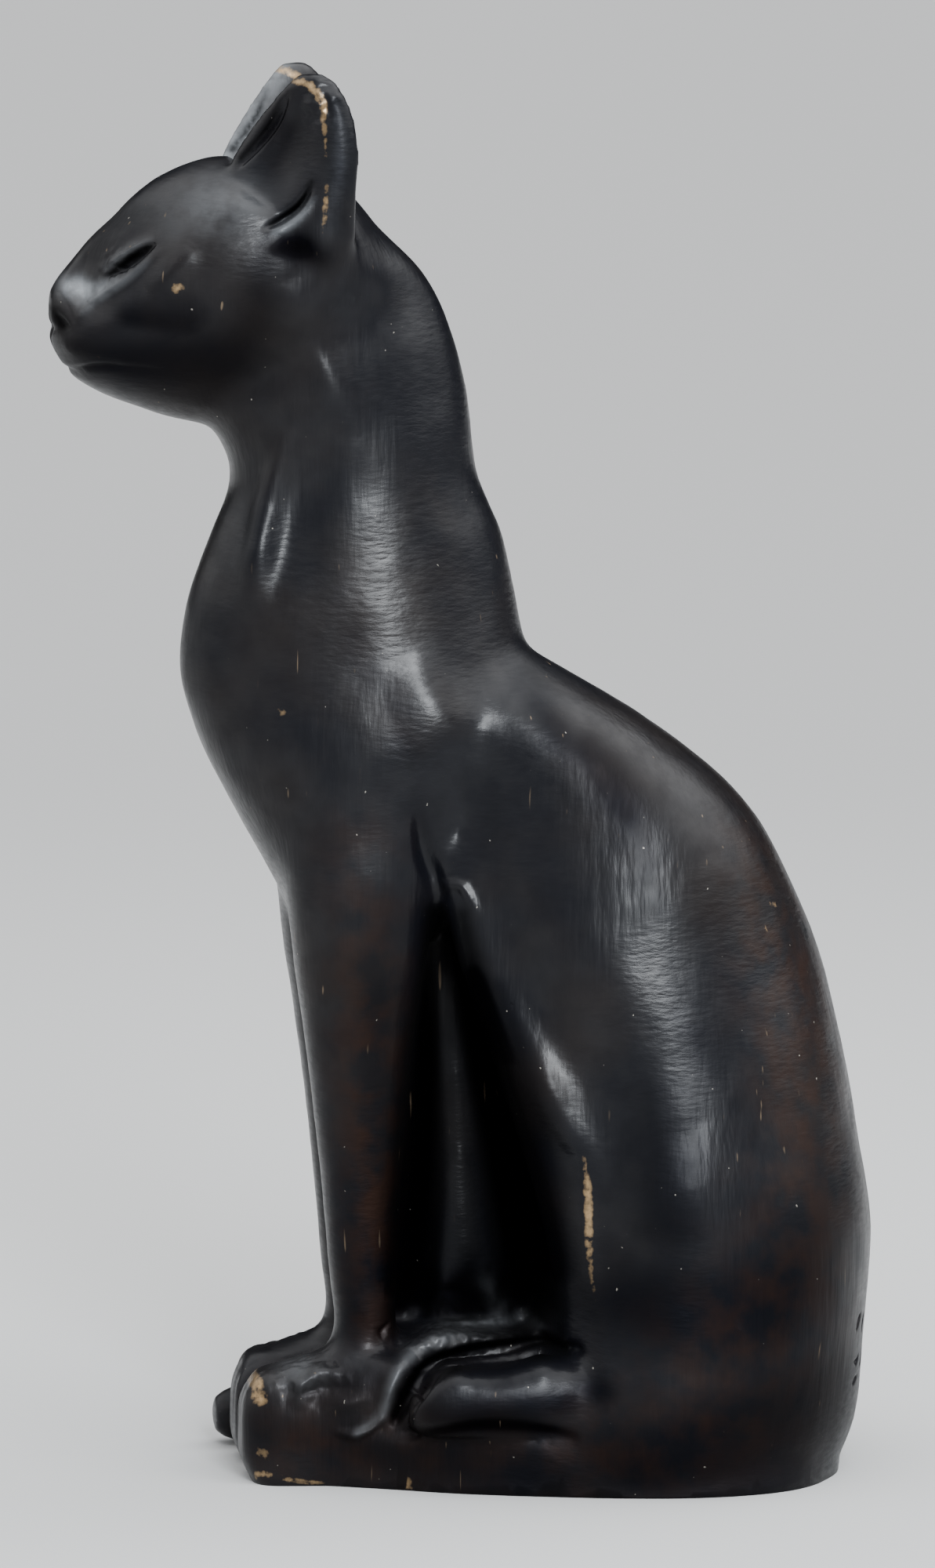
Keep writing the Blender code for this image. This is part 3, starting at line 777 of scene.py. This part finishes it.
# %% Nick the rump: across, up, breadth, depth
carve(cat, "rear", {
    "upper row": [(6.9, 11.7, 0.16, 0.05), (7.4, 11.2, 0.18, 0.32), (7.7, 10.6, 0.16, 0.05)],
    "upper row, second": [
        (5.4, 11.4, 0.16, 0.05), (5.8, 10.9, 0.18, 0.32), (5.9, 10.2, 0.16, 0.05),
    ],
    "lower row": [(6.4, 8.6, 0.16, 0.05), (6.9, 8.2, 0.18, 0.32), (7.5, 8.3, 0.16, 0.05)],
    "lower row, second": [(5, 8.8, 0.16, 0.05), (5.2, 8.1, 0.18, 0.32), (5.6, 7.6, 0.16, 0.05)],
    "lower row, third": [(6.2, 7, 0.16, 0.05), (6.8, 6.9, 0.18, 0.3), (7.3, 6.6, 0.16, 0.05)],
})

# %% [markdown]
# ## The hand-worked surface
#
# No cast surface is perfectly even. A slow noise gives the broad planes a slight waver. A quick
# one makes the recess, the ear tips and the tops of the paws uneven, where no file could reach or
# where the casting is chipped, and a fine one adds grain there and in the hollow of the eye.

# %% Where the surface is rough, and where it is grainy
across, forward, up = places(cat)


def around(middle, reach):
    """1 at the middle, fading to 0 at the reach."""
    gap = np.linalg.norm((np.stack([across, forward, up], 1) - middle) / reach, axis=1)
    return np.clip(1.5 - 1.5 * gap, 0, 1)


rough = np.maximum.reduce([
    around((2.0, 0.6, 12.4), (4.0, 4.5, 3.6)) * 0.6,
    around((7.8, -10.6, 98.4), (1.6, 2.2, 2.4)) * 0.6,
    around((6.4, -11.6, 7.0), (2.6, 4.6, 2.2)) * 0.5,
    around((6.6, -6.4, 6.6), (2.5, 2.4, 3.4)) * 0.4,
])
grainy = np.maximum.reduce([
    around((4.2, -24.8, 86.6), (1.8, 2.8, 2.0)) * 0.9,
    around((7.8, -10.8, 98.2), (1.6, 2.0, 3.0)),
    around((5.0, -10.0, 7.4), (3.0, 6.0, 2.4)) * 0.9,
    around((5.0, -1.0, 10.4), (5.0, 6.5, 2.6)) * 0.9,
])

# %% Raise the waver, the roughness and the grain
WAVER, ROUGHNESS, GRAIN = 0.06, 0.34, 0.16
spots = spots_of(cat)


def lumps(size, wanted=None):
    """A noise with lumps of that size at every point, or only where it is wanted."""
    wanted = np.ones(len(spots)) if wanted is None else wanted
    return np.array([
        noise.noise(Vector(spot) / size) if here > 0 else 0 for spot, here in zip(spots, wanted)
    ])


slow = lumps(4.5) + 0.4 * lumps(1.7)
quick, fine = lumps(1.15, rough), lumps(0.48, grainy)
move(cat, slow * WAVER + quick * rough * ROUGHNESS + fine * grainy * GRAIN)
print("roughened", int((np.maximum(rough, grainy) > 0).sum()), "points")

# %% [markdown]
# ## Cutting the foot flat
#
# The figure stands on a flat underside. The clay was carried below the ground line, and
# bisect_plane now cuts it off level.

# %% Cut at the ground line
work = bmesh.new()
work.from_mesh(cat)
everything = work.verts[:] + work.edges[:] + work.faces[:]
cut = bmesh.ops.bisect_plane(
    work, geom=everything, plane_co=(0, 0, 0), plane_no=(0, 0, 1), clear_inner=True
)
rim_edges = [item for item in cut["geom_cut"] if isinstance(item, bmesh.types.BMEdge)]
bmesh.ops.contextual_create(work, geom=rim_edges)
bmesh.ops.recalc_face_normals(work, faces=work.faces)
work.to_mesh(cat)
work.free()
print("cut flat,", len(cat.polygons), "faces")

# %% [markdown]
# ## Thinning
#
# Where the form is calm, fewer faces draw it as well. Decimate takes those out first.

# %% Keep within the budget of triangles
MOST_TRIANGLES = 190000
triangles = sum(len(face.vertices) - 2 for face in cat.polygons)


def thin(lump):
    fewer = lump.modifiers.new("thin", "DECIMATE")
    fewer.ratio = min(1.0, MOST_TRIANGLES / triangles)
    fewer.use_collapse_triangulate = True


cat = finished_by(cat, thin)
cat.shade_smooth()
print(triangles, "triangles thinned to", len(cat.polygons))

# %% [markdown]
# ## Where the finish changes
#
# Handling and cleaning leave their marks in fixed places: bare golden metal on edges and a warmer
# brown low on the body. Light and shade are painted here too: near-black painted shade in the
# recesses, grooves and creases, where the patina is also left unpolished; a dull skin where the wax
# is gone, which also blackens the metal as painted shade under the jaw, low down and beside the
# highlights; and pale grey painted highlights on ridges and facets, with a little grey bloom in
# corners. Each is painted as an attribute on the skin's points, with the same strokes as the
# carving. Single worn spots lie on the left alone, since no two sides wear alike.

# %% Paint with strokes: forward, up, breadth, strength
def paint(mesh, name, strokes, left_spots=(), right_side=()):
    """Strokes lie on both sides; a spot has a place, a reach and a strength."""
    spots = spots_of(mesh)
    seen = spots[:, 1:]
    amount = np.zeros(len(spots))
    for rows in strokes.values():
        amount = np.maximum(amount, cut_of(seen, eased(rows, 2)))
    for forward, up, reach, strength in left_spots:
        gap = np.linalg.norm(seen - (forward, up), axis=1) / reach
        amount = np.maximum(amount, strength * np.exp(-(gap**2)) * (spots[:, 0] > 0))
    for rows in right_side:
        amount = np.maximum(amount, cut_of(seen, eased(rows, 2)) * (spots[:, 0] < 0))
    layer = mesh.attributes.new(name, "FLOAT", "POINT")
    layer.data.foreach_set("value", np.clip(amount, 0, 1))
    print(name, "on", int((amount > 0.1).sum()), "points")


paint(cat, "bare_metal", {
    "edge of knee": [
        (7.2, 25, 0.24, 0.2), (7.5, 22.8, 0.32, 0.62), (7.7, 20, 0.36, 0.8), (7.8, 17, 0.34, 0.5),
        (8.3, 13.4, 0.3, 0.24),
    ],
    "base below the paw": [
        (-15.4, 0.5, 0.25, 0.6), (-15, 0.9, 0.25, 0.66), (-12.5, 0.4, 0.22, 0.62),
        (-10.6, 0.2, 0.2, 0.55),
    ],
    "base, middle": [(-7.4, 0.2, 0.15, 0.8), (-4, 0.3, 0.16, 0.8)],
    "base below the foot": [(1.8, 0.2, 0.14, 0.45), (6, 0.3, 0.16, 0.7)],
    "tip and rim of ear": [
        (-12.7, 99.8, 0.35, 0.6), (-11.4, 99.4, 0.45, 0.62), (-10.6, 98.2, 0.4, 0.62),
        (-10.5, 96.4, 0.25, 0.55), (-10.4, 94.4, 0.18, 0.4),
    ],
    "foot of ear's rim": [
        (-10.4, 92.6, 0.22, 0.6), (-10.5, 90.6, 0.25, 0.55), (-10.6, 89, 0.2, 0.4),
    ],
}, [
    (-15.3, 7.2, 0.62, 0.8),
    (-15.1, 6.3, 0.62, 0.8),
    (-14.9, 2.4, 0.9, 0.46),
    (-20.8, 85.4, 0.42, 0.8),
    (-20.2, 85.2, 0.26, 0.6),
    (-13.6, 55.6, 0.6, 0.5),
    (21.2, 41.6, 0.5, 0.55),
    (20.6, 40, 0.4, 0.5),
])
# near-black painted shade in the recess, the grooves of the foot, the eye, the nostril and the
# creases of the ear, where the patina is also left unpolished
paint(cat, "shade_and_black_patina", {
    "front pocket": [
        (-2.6, 41, 0.8, 0.6), (-2.6, 32, 1.5, 1), (-3, 22, 2.2, 1), (-3.8, 13.5, 2.3, 1),
        (-4.4, 12, 1.4, 0.9),
    ],
    "back pocket": [
        (-0.8, 41, 0.7, 0.6), (0.8, 32, 1.4, 1), (2.6, 22, 2, 1), (4.2, 13.5, 2.1, 1),
        (4.4, 12, 1.4, 0.9),
    ],
    "groove of foot": [
        (6.4, 10, 0.4, 0.8), (2, 9.8, 0.45, 1), (-2.3, 9.1, 0.45, 1), (-4.4, 7.6, 0.45, 1),
        (-5.5, 5.2, 0.4, 0.8),
    ],
    "below the sole": [
        (-3.8, 4.5, 0.4, 0.4), (-0.4, 5.2, 0.5, 0.8), (4, 5, 0.5, 0.7), (6.6, 4.4, 0.4, 0.3),
    ],
    "eye": [(-25.2, 86.1, 0.2, 0.7), (-23.9, 87.15, 0.34, 1), (-22.6, 88.1, 0.2, 0.7)],
    "nostril": [(-29, 83.4, 0.5, 0.8), (-28.5, 82.4, 0.5, 0.8)],
    "notch of ear": [(-14.2, 89.8, 0.2, 0.6), (-12.3, 91.1, 0.26, 1), (-11.4, 92.8, 0.2, 0.5)],
    "wedge": [(-1.4, 39, 0.8, 0.5), (-0.6, 28, 1.4, 0.6), (0, 20, 1.6, 0.6), (0.6, 12.4, 2.6, 0.8)],
    "below the ear": [(-14, 88.1, 0.8, 0.3), (-12.4, 88.3, 1.2, 0.6), (-11, 87.6, 1, 0.3)],
    "crease of ear": [(-16, 94.2, 0.22, 0.6), (-14.2, 96.6, 0.22, 0.7), (-13.2, 98.6, 0.2, 0.2)],
})
# the dull skin where the wax is gone is also painted shade: through Metallic it blackens the metal
# under the jaw, on the cheek, low on the haunch and base, inside the ear and beside the highlights
paint(cat, "dull_and_shade", {
    "jaw": [
        (-27.5, 80.5, 1.6, 0.9), (-24, 80, 2.4, 1), (-18, 80, 3.4, 1), (-15.6, 82.5, 2.4, 0.8),
        (-15, 86.6, 1.6, 0.6),
    ],
    "cheek": [(-24, 83.2, 1, 0.9), (-20, 82.8, 1.9, 0.9)],
    "brow": [(-26.6, 87.4, 0.8, 0.7), (-24.4, 89.6, 1, 0.8), (-22.6, 90.4, 0.9, 0.5)],
    "inside of ear": [(-14.4, 92, 0.9, 0.4), (-13, 96, 1.3, 0.7)],
    "front leg": [
        (-6.9, 44, 2, 0.2), (-6.9, 36, 2.6, 0.7), (-7, 22, 2.8, 0.9), (-7.4, 12, 2.8, 0.9),
    ],
    "front of thigh": [(2, 36, 0.8, 0.6), (4.4, 26, 1.4, 0.9), (5.6, 16, 1.6, 1)],
    "base": [(-14, 4, 3, 0.8), (-6, 3, 3.6, 1), (6, 2, 3.6, 1), (16, 4, 5, 1), (24, 6, 6, 1)],
    "low on the haunch": [(10, 14, 3.6, 0.9), (20, 14, 6, 1), (25, 20, 4, 0.6)],
    "top of foot": [(0, 6.6, 3, 0.5), (3, 6.8, 3, 0.5)],
    "behind the shoulder": [
        (4, 58, 1.4, 0.5), (6, 53.6, 1.8, 0.8), (8.6, 50.8, 2, 0.75), (10.6, 47.6, 1.8, 0.4),
    ],
    "swell of haunch": [(13, 28, 3, 0.5), (13.6, 24, 3.4, 0.7), (13.6, 20, 3.4, 0.8)],
    "side of foot": [
        (-3.4, 6, 1.4, 0.9), (0, 6.4, 1.5, 0.95), (3, 6.6, 1.5, 0.95), (6.4, 6.8, 1.5, 0.95),
    ],
    "before the heel": [(1.2, 7.8, 0.8, 0.6), (2, 8.2, 0.8, 0.6)],
    "beside the neck's light": [
        (-9.6, 66.4, 1.3, 0.3), (-8.9, 62.4, 1.5, 0.62), (-7.6, 58.8, 1.4, 0.62),
        (-6.6, 56.6, 1.3, 0.4),
    ],
    "before the shoulder": [
        (-6.2, 57.4, 1.1, 0.4), (-5.7, 55.6, 1.3, 0.78), (-4.8, 53.4, 1.4, 0.8),
    ],
    "behind the heel": [(7.4, 7.6, 1.2, 0.9), (8.4, 7.6, 1.4, 1)],
    "paw": [(-12.6, 6.8, 1.8, 0.7), (-9.6, 6.8, 2.2, 0.8), (-6.4, 7.4, 2, 0.8)],
    "foot of wedge": [(-1.6, 12.6, 1.8, 0.7), (1.6, 12.6, 2.2, 0.7)],
    "flank": [(14.4, 35, 2, 0.4), (15.6, 32.2, 2.4, 0.62), (16.4, 29.6, 2, 0.4)],
    "edge of thigh": [(0, 36, 1, 0.8), (2.6, 31, 0.8, 0.8)],
    "slope of back": [(7.6, 52.6, 2, 0.9), (10, 49.4, 2.4, 1), (11.6, 45.6, 2, 0.6)],
    "back band of ear": [(-9.9, 98, 0.8, 0.8), (-9.6, 94, 0.9, 1), (-9.8, 90, 0.9, 0.9)],
    "below the ear": [(-14.6, 88, 1, 0.6), (-12.6, 88.2, 1.4, 1), (-10.8, 87.4, 1.2, 0.6)],
})
# pale grey painted highlights and sheen on ridges and facets: lids, edge of the cheek, lobe, lip of
# the foot, temple and side of the muzzle; a little grey bloom in the recess and on the ear's back
# band
paint(cat, "sheen_and_bloom", {
    "side of muzzle": [
        (-27.9, 85.1, 0.65, 0.8), (-26.9, 84.9, 0.75, 1), (-25.9, 85.1, 0.5, 0.55),
        (-24.8, 85.7, 0.35, 0.25),
    ],
    "lobe of ear": [
        (-14, 89.3, 0.25, 0.3), (-13.2, 89.6, 0.32, 0.5), (-12.3, 90.3, 0.32, 0.5),
        (-11.4, 91.5, 0.25, 0.2),
    ],
    "lip of foot": [
        (5, 10.9, 0.35, 0.14), (1.2, 10.7, 0.45, 0.28), (-1.5, 10.4, 0.45, 0.28),
        (-4, 9.5, 0.45, 0.25), (-5.6, 8, 0.4, 0.25), (-6.5, 5.4, 0.35, 0.22),
        (-8.4, 3.9, 0.25, 0.25),
    ],
    "lump in the recess": [(1.2, 13.6, 0.8, 0.14), (2.4, 11.6, 0.8, 0.14)],
    "temple": [(-20.6, 90, 1.6, 0.1), (-18.6, 90.8, 2, 0.2), (-15.8, 91.2, 1.6, 0.16)],
    "upper lid": [(-25.4, 86.5, 0.25, 0.12), (-24, 87.8, 0.25, 0.2), (-22.4, 88.7, 0.25, 0.08)],
    "edge of cheek": [(-27, 83.5, 0.3, 0.16), (-25.4, 84.9, 0.3, 0.24), (-22.6, 87.2, 0.28, 0.1)],
    "back band of ear": [(-9.9, 97.6, 0.9, 0.04), (-9.6, 94, 1, 0.05), (-9.8, 90, 1, 0.04)],
}, [
    (-12.4, 8.4, 1.6, 0.2),
], [
    # a pale painted sheen on the front of the far ear alone
    [(-17.6, 92.6, 1.20, 1.00), (-15.0, 97.4, 1.20, 1.00), (-13.0, 100.0, 1.20, 1.00)],
])
paint(cat, "brown", {
    "front leg": [(-8, 46, 3, 0.35), (-7.5, 34, 2.6, 0.8), (-7, 22, 2.4, 0.9), (-7, 12, 2.4, 0.6)],
    "rump": [
        (19, 47, 2.5, 0.3), (21.5, 38, 3.2, 0.95), (23, 28, 3.5, 0.8), (22, 16, 5, 0.6),
        (16, 7, 6, 0.6),
    ],
    "base": [(-13, 3, 3, 0.6), (0, 2, 3, 0.3), (12, 4, 4, 0.6)],
})

# %% [markdown]
# ## The patina
#
# The bronze is nearly black: a waxed brown patina over metal, cool where it is thin and polished.
# The material reads the painted attributes and noises laid in the figure's own space, so the
# finish stays on the metal when the figure moves. Each helper adds one or two nodes.

# %% Helpers for the material
patina = bpy.data.materials.new("patinated_bronze")
patina.use_nodes = True
nodes, links = patina.node_tree.nodes, patina.node_tree.links
shader = nodes["Principled BSDF"]
where = nodes.new("ShaderNodeTexCoord").outputs["Object"]


def grain(scale, detail=3.0, stretch=(1, 1, 1), turn=(0, 0, 0)):
    """A noise in the metal's own place, stretched and turned."""
    laid = nodes.new("ShaderNodeMapping")
    laid.inputs["Scale"].default_value = stretch
    laid.inputs["Rotation"].default_value = turn
    links.new(where, laid.inputs["Vector"])
    made = nodes.new("ShaderNodeTexNoise")
    made.inputs["Scale"].default_value = scale
    made.inputs["Detail"].default_value = detail
    links.new(laid.outputs["Vector"], made.inputs["Vector"])
    return made.outputs["Fac"]


def ramp(value, start, full, least=0.0, most=1.0):
    """Turns the span from start to full into least to most."""
    made = nodes.new("ShaderNodeMapRange")
    limits = {"From Min": start, "From Max": full, "To Min": least, "To Max": most}
    for name, number in limits.items():
        made.inputs[name].default_value = number
    links.new(value, made.inputs["Value"])
    return made.outputs["Result"]


def mixed(share, first, second):
    """Goes from the first colour to the second with the share."""
    made = nodes.new("ShaderNodeMix")
    made.data_type = "RGBA"
    for socket, colour in zip((made.inputs[6], made.inputs[7]), (first, second)):
        if isinstance(colour, tuple):
            socket.default_value = (*colour, 1)
        else:
            links.new(colour, socket)
    links.new(share, made.inputs[0])
    return made.outputs[2]


def between(share, first, second):
    """Goes from the first number to the second with the share."""
    made = nodes.new("ShaderNodeMix")
    for socket, number in zip((made.inputs[2], made.inputs[3]), (first, second)):
        if isinstance(number, float):
            socket.default_value = number
        else:
            links.new(number, socket)
    links.new(share, made.inputs[0])
    return made.outputs[0]


def together(kind, first, second):
    made = nodes.new("ShaderNodeMath")
    made.operation = kind
    made.use_clamp = True
    links.new(first, made.inputs[0])
    links.new(second, made.inputs[1])
    return made.outputs["Value"]


def painted(name):
    made = nodes.new("ShaderNodeAttribute")
    made.attribute_name = name
    return made.outputs["Fac"]


# %% [markdown]
# ### Colour
#
# Cooler and warmer black come in patches. Over them lie the brown, pale grey painted highlights
# with a little grey bloom, near-black painted shade in the hollows, fine scratches, dust and last
# the bare metal, which shows where `bare_metal` and a noise together pass a limit, so that wear
# breaks up in patches. A black metal mirrors nothing, so the painted shade and the dull skin, which
# is partly painted shade too, are also given to Metallic.

# %% Colour of the patina
COOL_BLACK, WARM_BLACK = (0.0024, 0.0026, 0.0040), (0.0058, 0.0048, 0.0050)
shader.inputs["Specular IOR Level"].default_value = 0.11

# painted shade of the hollows, and the dull skin, which is partly painted shade
shade_and_black_patina, dull_and_shade = painted("shade_and_black_patina"), painted("dull_and_shade")
broken = ramp(grain(1500, 5), 0.22, 0.62, 0.30, 1.0)
worn = ramp(together("MULTIPLY", painted("bare_metal"), broken), 0.26, 0.70)
lines = ramp(grain(1.0, 1, (1700, 1700, 150), (1.05, 0.30, 0.2)), 0.745, 0.80)
scratch = together("MULTIPLY", lines, ramp(grain(90, 2), 0.52, 0.60))
# painted highlights and sheen, broken up by a noise
sheen_and_bloom_share = together("MULTIPLY", painted("sheen_and_bloom"), ramp(grain(500, 5), 0.30, 0.55, 0.45, 1.0))
dust = ramp(grain(1500, 1), 0.80, 0.83)
brown = together("MULTIPLY", painted("brown"), ramp(grain(260, 5), 0.38, 0.62))
metal = mixed(ramp(grain(60, 5), 0.42, 0.66), COOL_BLACK, WARM_BLACK)
layers = [
    (brown, (0.0125, 0.0058, 0.0038)),
    # pale grey painted highlights and sheen, with a little grey bloom
    (sheen_and_bloom_share, (0.135, 0.143, 0.152)),
    # near-black painted shade of the hollows, over unpolished patina
    (shade_and_black_patina, (0.0004, 0.0004, 0.0005)),
    (scratch, (0.075, 0.055, 0.036)),
    (dust, (0.16, 0.15, 0.13)),
    (worn, (0.34, 0.23, 0.12)),
]
for share, colour in layers:
    metal = mixed(share, metal, colour)
links.new(metal, shader.inputs["Base Color"])
# painted shade: the hollows and the dull skin turn black through Metallic
blackened = together("ADD", shade_and_black_patina, ramp(dull_and_shade, 0.0, 1.0, 0.0, 0.78))
links.new(together("ADD", worn, blackened), shader.inputs["Metallic"])
print("mixed", len(layers), "colours over the black")

# %% [markdown]
# ### Gloss and wax
#
# Brushing has left short marks that lie across in some patches and upright in others. They show
# only inside the highlights, so they drive the roughness and a very low bump. Two glosses lie over
# each other: the broad soft one of the patina, and the tight one of the wax, which is mottled and
# is gone on the dull skin and in the painted shade of the hollows.

# %% Brushing, gloss and wax
MATT, WAX = 0.85, 0.28
BUMP_HEIGHT = 0.0001

across_marks = grain(1.0, 3.0, (620, 620, 2000), (0.40, 0.15, 0))
upright_marks = grain(1.0, 2.0, (1500, 1500, 160), (0.15, 0.0, 0))
brushing = between(ramp(grain(45, 2), 0.45, 0.60), across_marks, upright_marks)
gloss = ramp(brushing, 0.3, 0.7, 0.29, 0.40)
unpolished = together("SUBTRACT", together("ADD", shade_and_black_patina, ramp(dull_and_shade, 0.0, 1.0, 0.0, 0.35)), worn)
links.new(between(unpolished, gloss, MATT), shader.inputs["Roughness"])

waxed = ramp(together("ADD", shade_and_black_patina, dull_and_shade), 0.0, 0.9, WAX, 0.0)
mottled = ramp(grain(280, 5), 0.36, 0.64, 0.45, 1.0)
links.new(together("MULTIPLY", waxed, mottled), shader.inputs["Coat Weight"])
shader.inputs["Coat Roughness"].default_value = 0.24
shader.inputs["Coat IOR"].default_value = 1.45

bump = nodes.new("ShaderNodeBump")
bump.inputs["Strength"].default_value = 0.5
bump.inputs["Distance"].default_value = BUMP_HEIGHT
links.new(brushing, bump.inputs["Height"])
for socket in ("Normal", "Coat Normal"):
    links.new(bump.outputs["Normal"], shader.inputs[socket])
print("the patina has", len(nodes), "nodes")

# %% Put the finished skin in the solid's place
cat.materials.clear()
cat.materials.append(patina)
statuette = bpy.data.objects.new("cat_casting", cat)
bpy.context.scene.collection.objects.link(statuette)
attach(statuette, "root")
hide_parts("cat_statuette")
print(statuette.name, "stands for cat_statuette")

# %% [markdown]
# ## The floor
#
# The cat stands on a pale floor that runs on into the distance. Its colour is painted a little
# paler near the figure and greyer away from it: a painted pool of light, for the softbox lights the
# middle most.

# %% Floor
FLOOR_RADIUS = 12.0
# NEAR_GREY carries a painted pool of light round the figure, FAR_GREY the floor beyond it
NEAR_GREY, FAR_GREY = (0.365, 0.368, 0.369, 1), (0.275, 0.276, 0.277, 1)
FADE_STARTS, FADE_ENDS = 0.12, 0.60

floor_skin = bmesh.new()
bmesh.ops.create_circle(floor_skin, cap_ends=True, segments=96, radius=FLOOR_RADIUS)
floor_mesh = bpy.data.meshes.new("floor")
floor_skin.to_mesh(floor_mesh)
floor_skin.free()
pale = bpy.data.materials.new("pale_floor")
pale.use_nodes = True
floor_nodes, floor_links = pale.node_tree.nodes, pale.node_tree.links
from_middle = floor_nodes.new("ShaderNodeVectorMath")
from_middle.operation = "LENGTH"
floor_links.new(floor_nodes.new("ShaderNodeTexCoord").outputs["Object"], from_middle.inputs[0])
fade = floor_nodes.new("ShaderNodeMapRange")
fade.interpolation_type = "SMOOTHSTEP"
fade.inputs["From Min"].default_value = FADE_STARTS
fade.inputs["From Max"].default_value = FADE_ENDS
floor_links.new(from_middle.outputs["Value"], fade.inputs["Value"])
grey = floor_nodes.new("ShaderNodeMix")
grey.data_type = "RGBA"
grey.inputs[6].default_value, grey.inputs[7].default_value = NEAR_GREY, FAR_GREY
floor_links.new(fade.outputs["Result"], grey.inputs[0])
pale_shader = floor_nodes["Principled BSDF"]
floor_links.new(grey.outputs[2], pale_shader.inputs["Base Color"])
pale_shader.inputs["Roughness"].default_value = 1.0
pale_shader.inputs["Specular IOR Level"].default_value = 0.0
floor_mesh.materials.append(pale)
floor = bpy.data.objects.new("floor", floor_mesh)
bpy.context.scene.collection.objects.link(floor)
print("the floor reaches", FLOOR_RADIUS, "m")

# %% [markdown]
# ## The light
#
# Dark metal is drawn by what it mirrors. The room glows from above and behind the cat, less from
# above its face and faintly from between its face and the lens, and is dark elsewhere. One tall
# softbox on the cat's left draws the bright highlights down the neck and the thigh.

# %% Light of the room
room = bpy.data.worlds.new("room")
bpy.context.scene.world = room
room.use_nodes = True
sky_nodes, sky_links = room.node_tree.nodes, room.node_tree.links
way = sky_nodes.new("ShaderNodeTexCoord").outputs["Generated"]


def glow(towards, start, full, strength):
    """Light that grows as the way looked in turns towards a direction."""
    dot = sky_nodes.new("ShaderNodeVectorMath")
    dot.operation = "DOT_PRODUCT"
    dot.inputs[1].default_value = towards
    sky_links.new(way, dot.inputs[0])
    growth = sky_nodes.new("ShaderNodeMapRange")
    growth.interpolation_type = "SMOOTHSTEP"
    growth.inputs["From Min"].default_value = start
    growth.inputs["From Max"].default_value = full
    growth.inputs["To Max"].default_value = strength
    sky_links.new(dot.outputs["Value"], growth.inputs["Value"])
    return growth.outputs["Result"]


def added(first, second):
    both = sky_nodes.new("ShaderNodeMath")
    sky_links.new(first, both.inputs[0])
    sky_links.new(second, both.inputs[1])
    return both.outputs["Value"]


behind = glow(direction(160, 60), 0.45, 0.98, 5.5)
ahead = glow(direction(-8, 46), 0.48, 0.97, 2.0)
beside = glow(direction(48, 6), 0.55, 1.0, 0.7)
background = sky_nodes["Background"]
sky_links.new(added(added(behind, ahead), beside), background.inputs["Strength"])
background.inputs["Color"].default_value = (0.98, 0.99, 1.0, 1)

# %% [markdown]
# ### Backdrop
#
# Above the floor's edge the lens sees a pale even backdrop. Light Path shows it to the lens alone,
# so it lights nothing.

# %% A pale backdrop above the floor's edge
backdrop = sky_nodes.new("ShaderNodeBackground")
backdrop.inputs["Color"].default_value = (0.86, 0.87, 0.87, 1)
choice = sky_nodes.new("ShaderNodeMixShader")
sky_links.new(sky_nodes.new("ShaderNodeLightPath").outputs["Is Camera Ray"], choice.inputs[0])
sky_links.new(background.outputs[0], choice.inputs[1])
sky_links.new(backdrop.outputs[0], choice.inputs[2])
sky_links.new(choice.outputs[0], sky_nodes["World Output"].inputs["Surface"])


# %% The softbox
def softbox(name, azimuth, elevation, distance, wide, tall, power, tint):
    light = bpy.data.lights.new(name, "AREA")
    light.shape = "RECTANGLE"
    light.size, light.size_y = wide, tall
    light.energy = power
    light.color = tint
    lamp = bpy.data.objects.new(name, light)
    way_out = Vector(direction(azimuth, elevation))
    lamp.location = Vector((0, 0, HEIGHT / 2)) + way_out * distance
    lamp.rotation_euler = way_out.to_track_quat("Z", "Y").to_euler()
    bpy.context.scene.collection.objects.link(lamp)
    print(name, "gives", power, "W")


softbox("main_softbox", 97, 22, 1.3, 0.28, 0.74, 31, (0.92, 0.96, 1.0))

# %% [markdown]
# ## Camera
#
# A long lens keeps the proportions true. It stands at the cat's left, a little round to the front
# and a little above it, and looks slightly down.

# %% Camera
AZIMUTH, ELEVATION = 84, 7.6
SENSOR_HEIGHT, PICTURE_HEIGHT = 36, 2000
DISTANCE = 700 * UNIT
AIM = Vector((0, 0.4, 49.2)) * UNIT
PIXELS_PER_UNIT = 17.92
towards_camera = Vector(direction(AZIMUTH, ELEVATION))
lens = bpy.data.cameras.new("camera")
lens.sensor_fit = "VERTICAL"
lens.sensor_height = SENSOR_HEIGHT
lens.lens = SENSOR_HEIGHT * PIXELS_PER_UNIT * DISTANCE / UNIT / PICTURE_HEIGHT
camera = bpy.data.objects.new("camera", lens)
camera.location = AIM + towards_camera * DISTANCE
camera.rotation_euler = towards_camera.to_track_quat("Z", "Y").to_euler()
bpy.context.scene.collection.objects.link(camera)
bpy.context.scene.camera = camera
print("lens", round(lens.lens, 1), "mm")
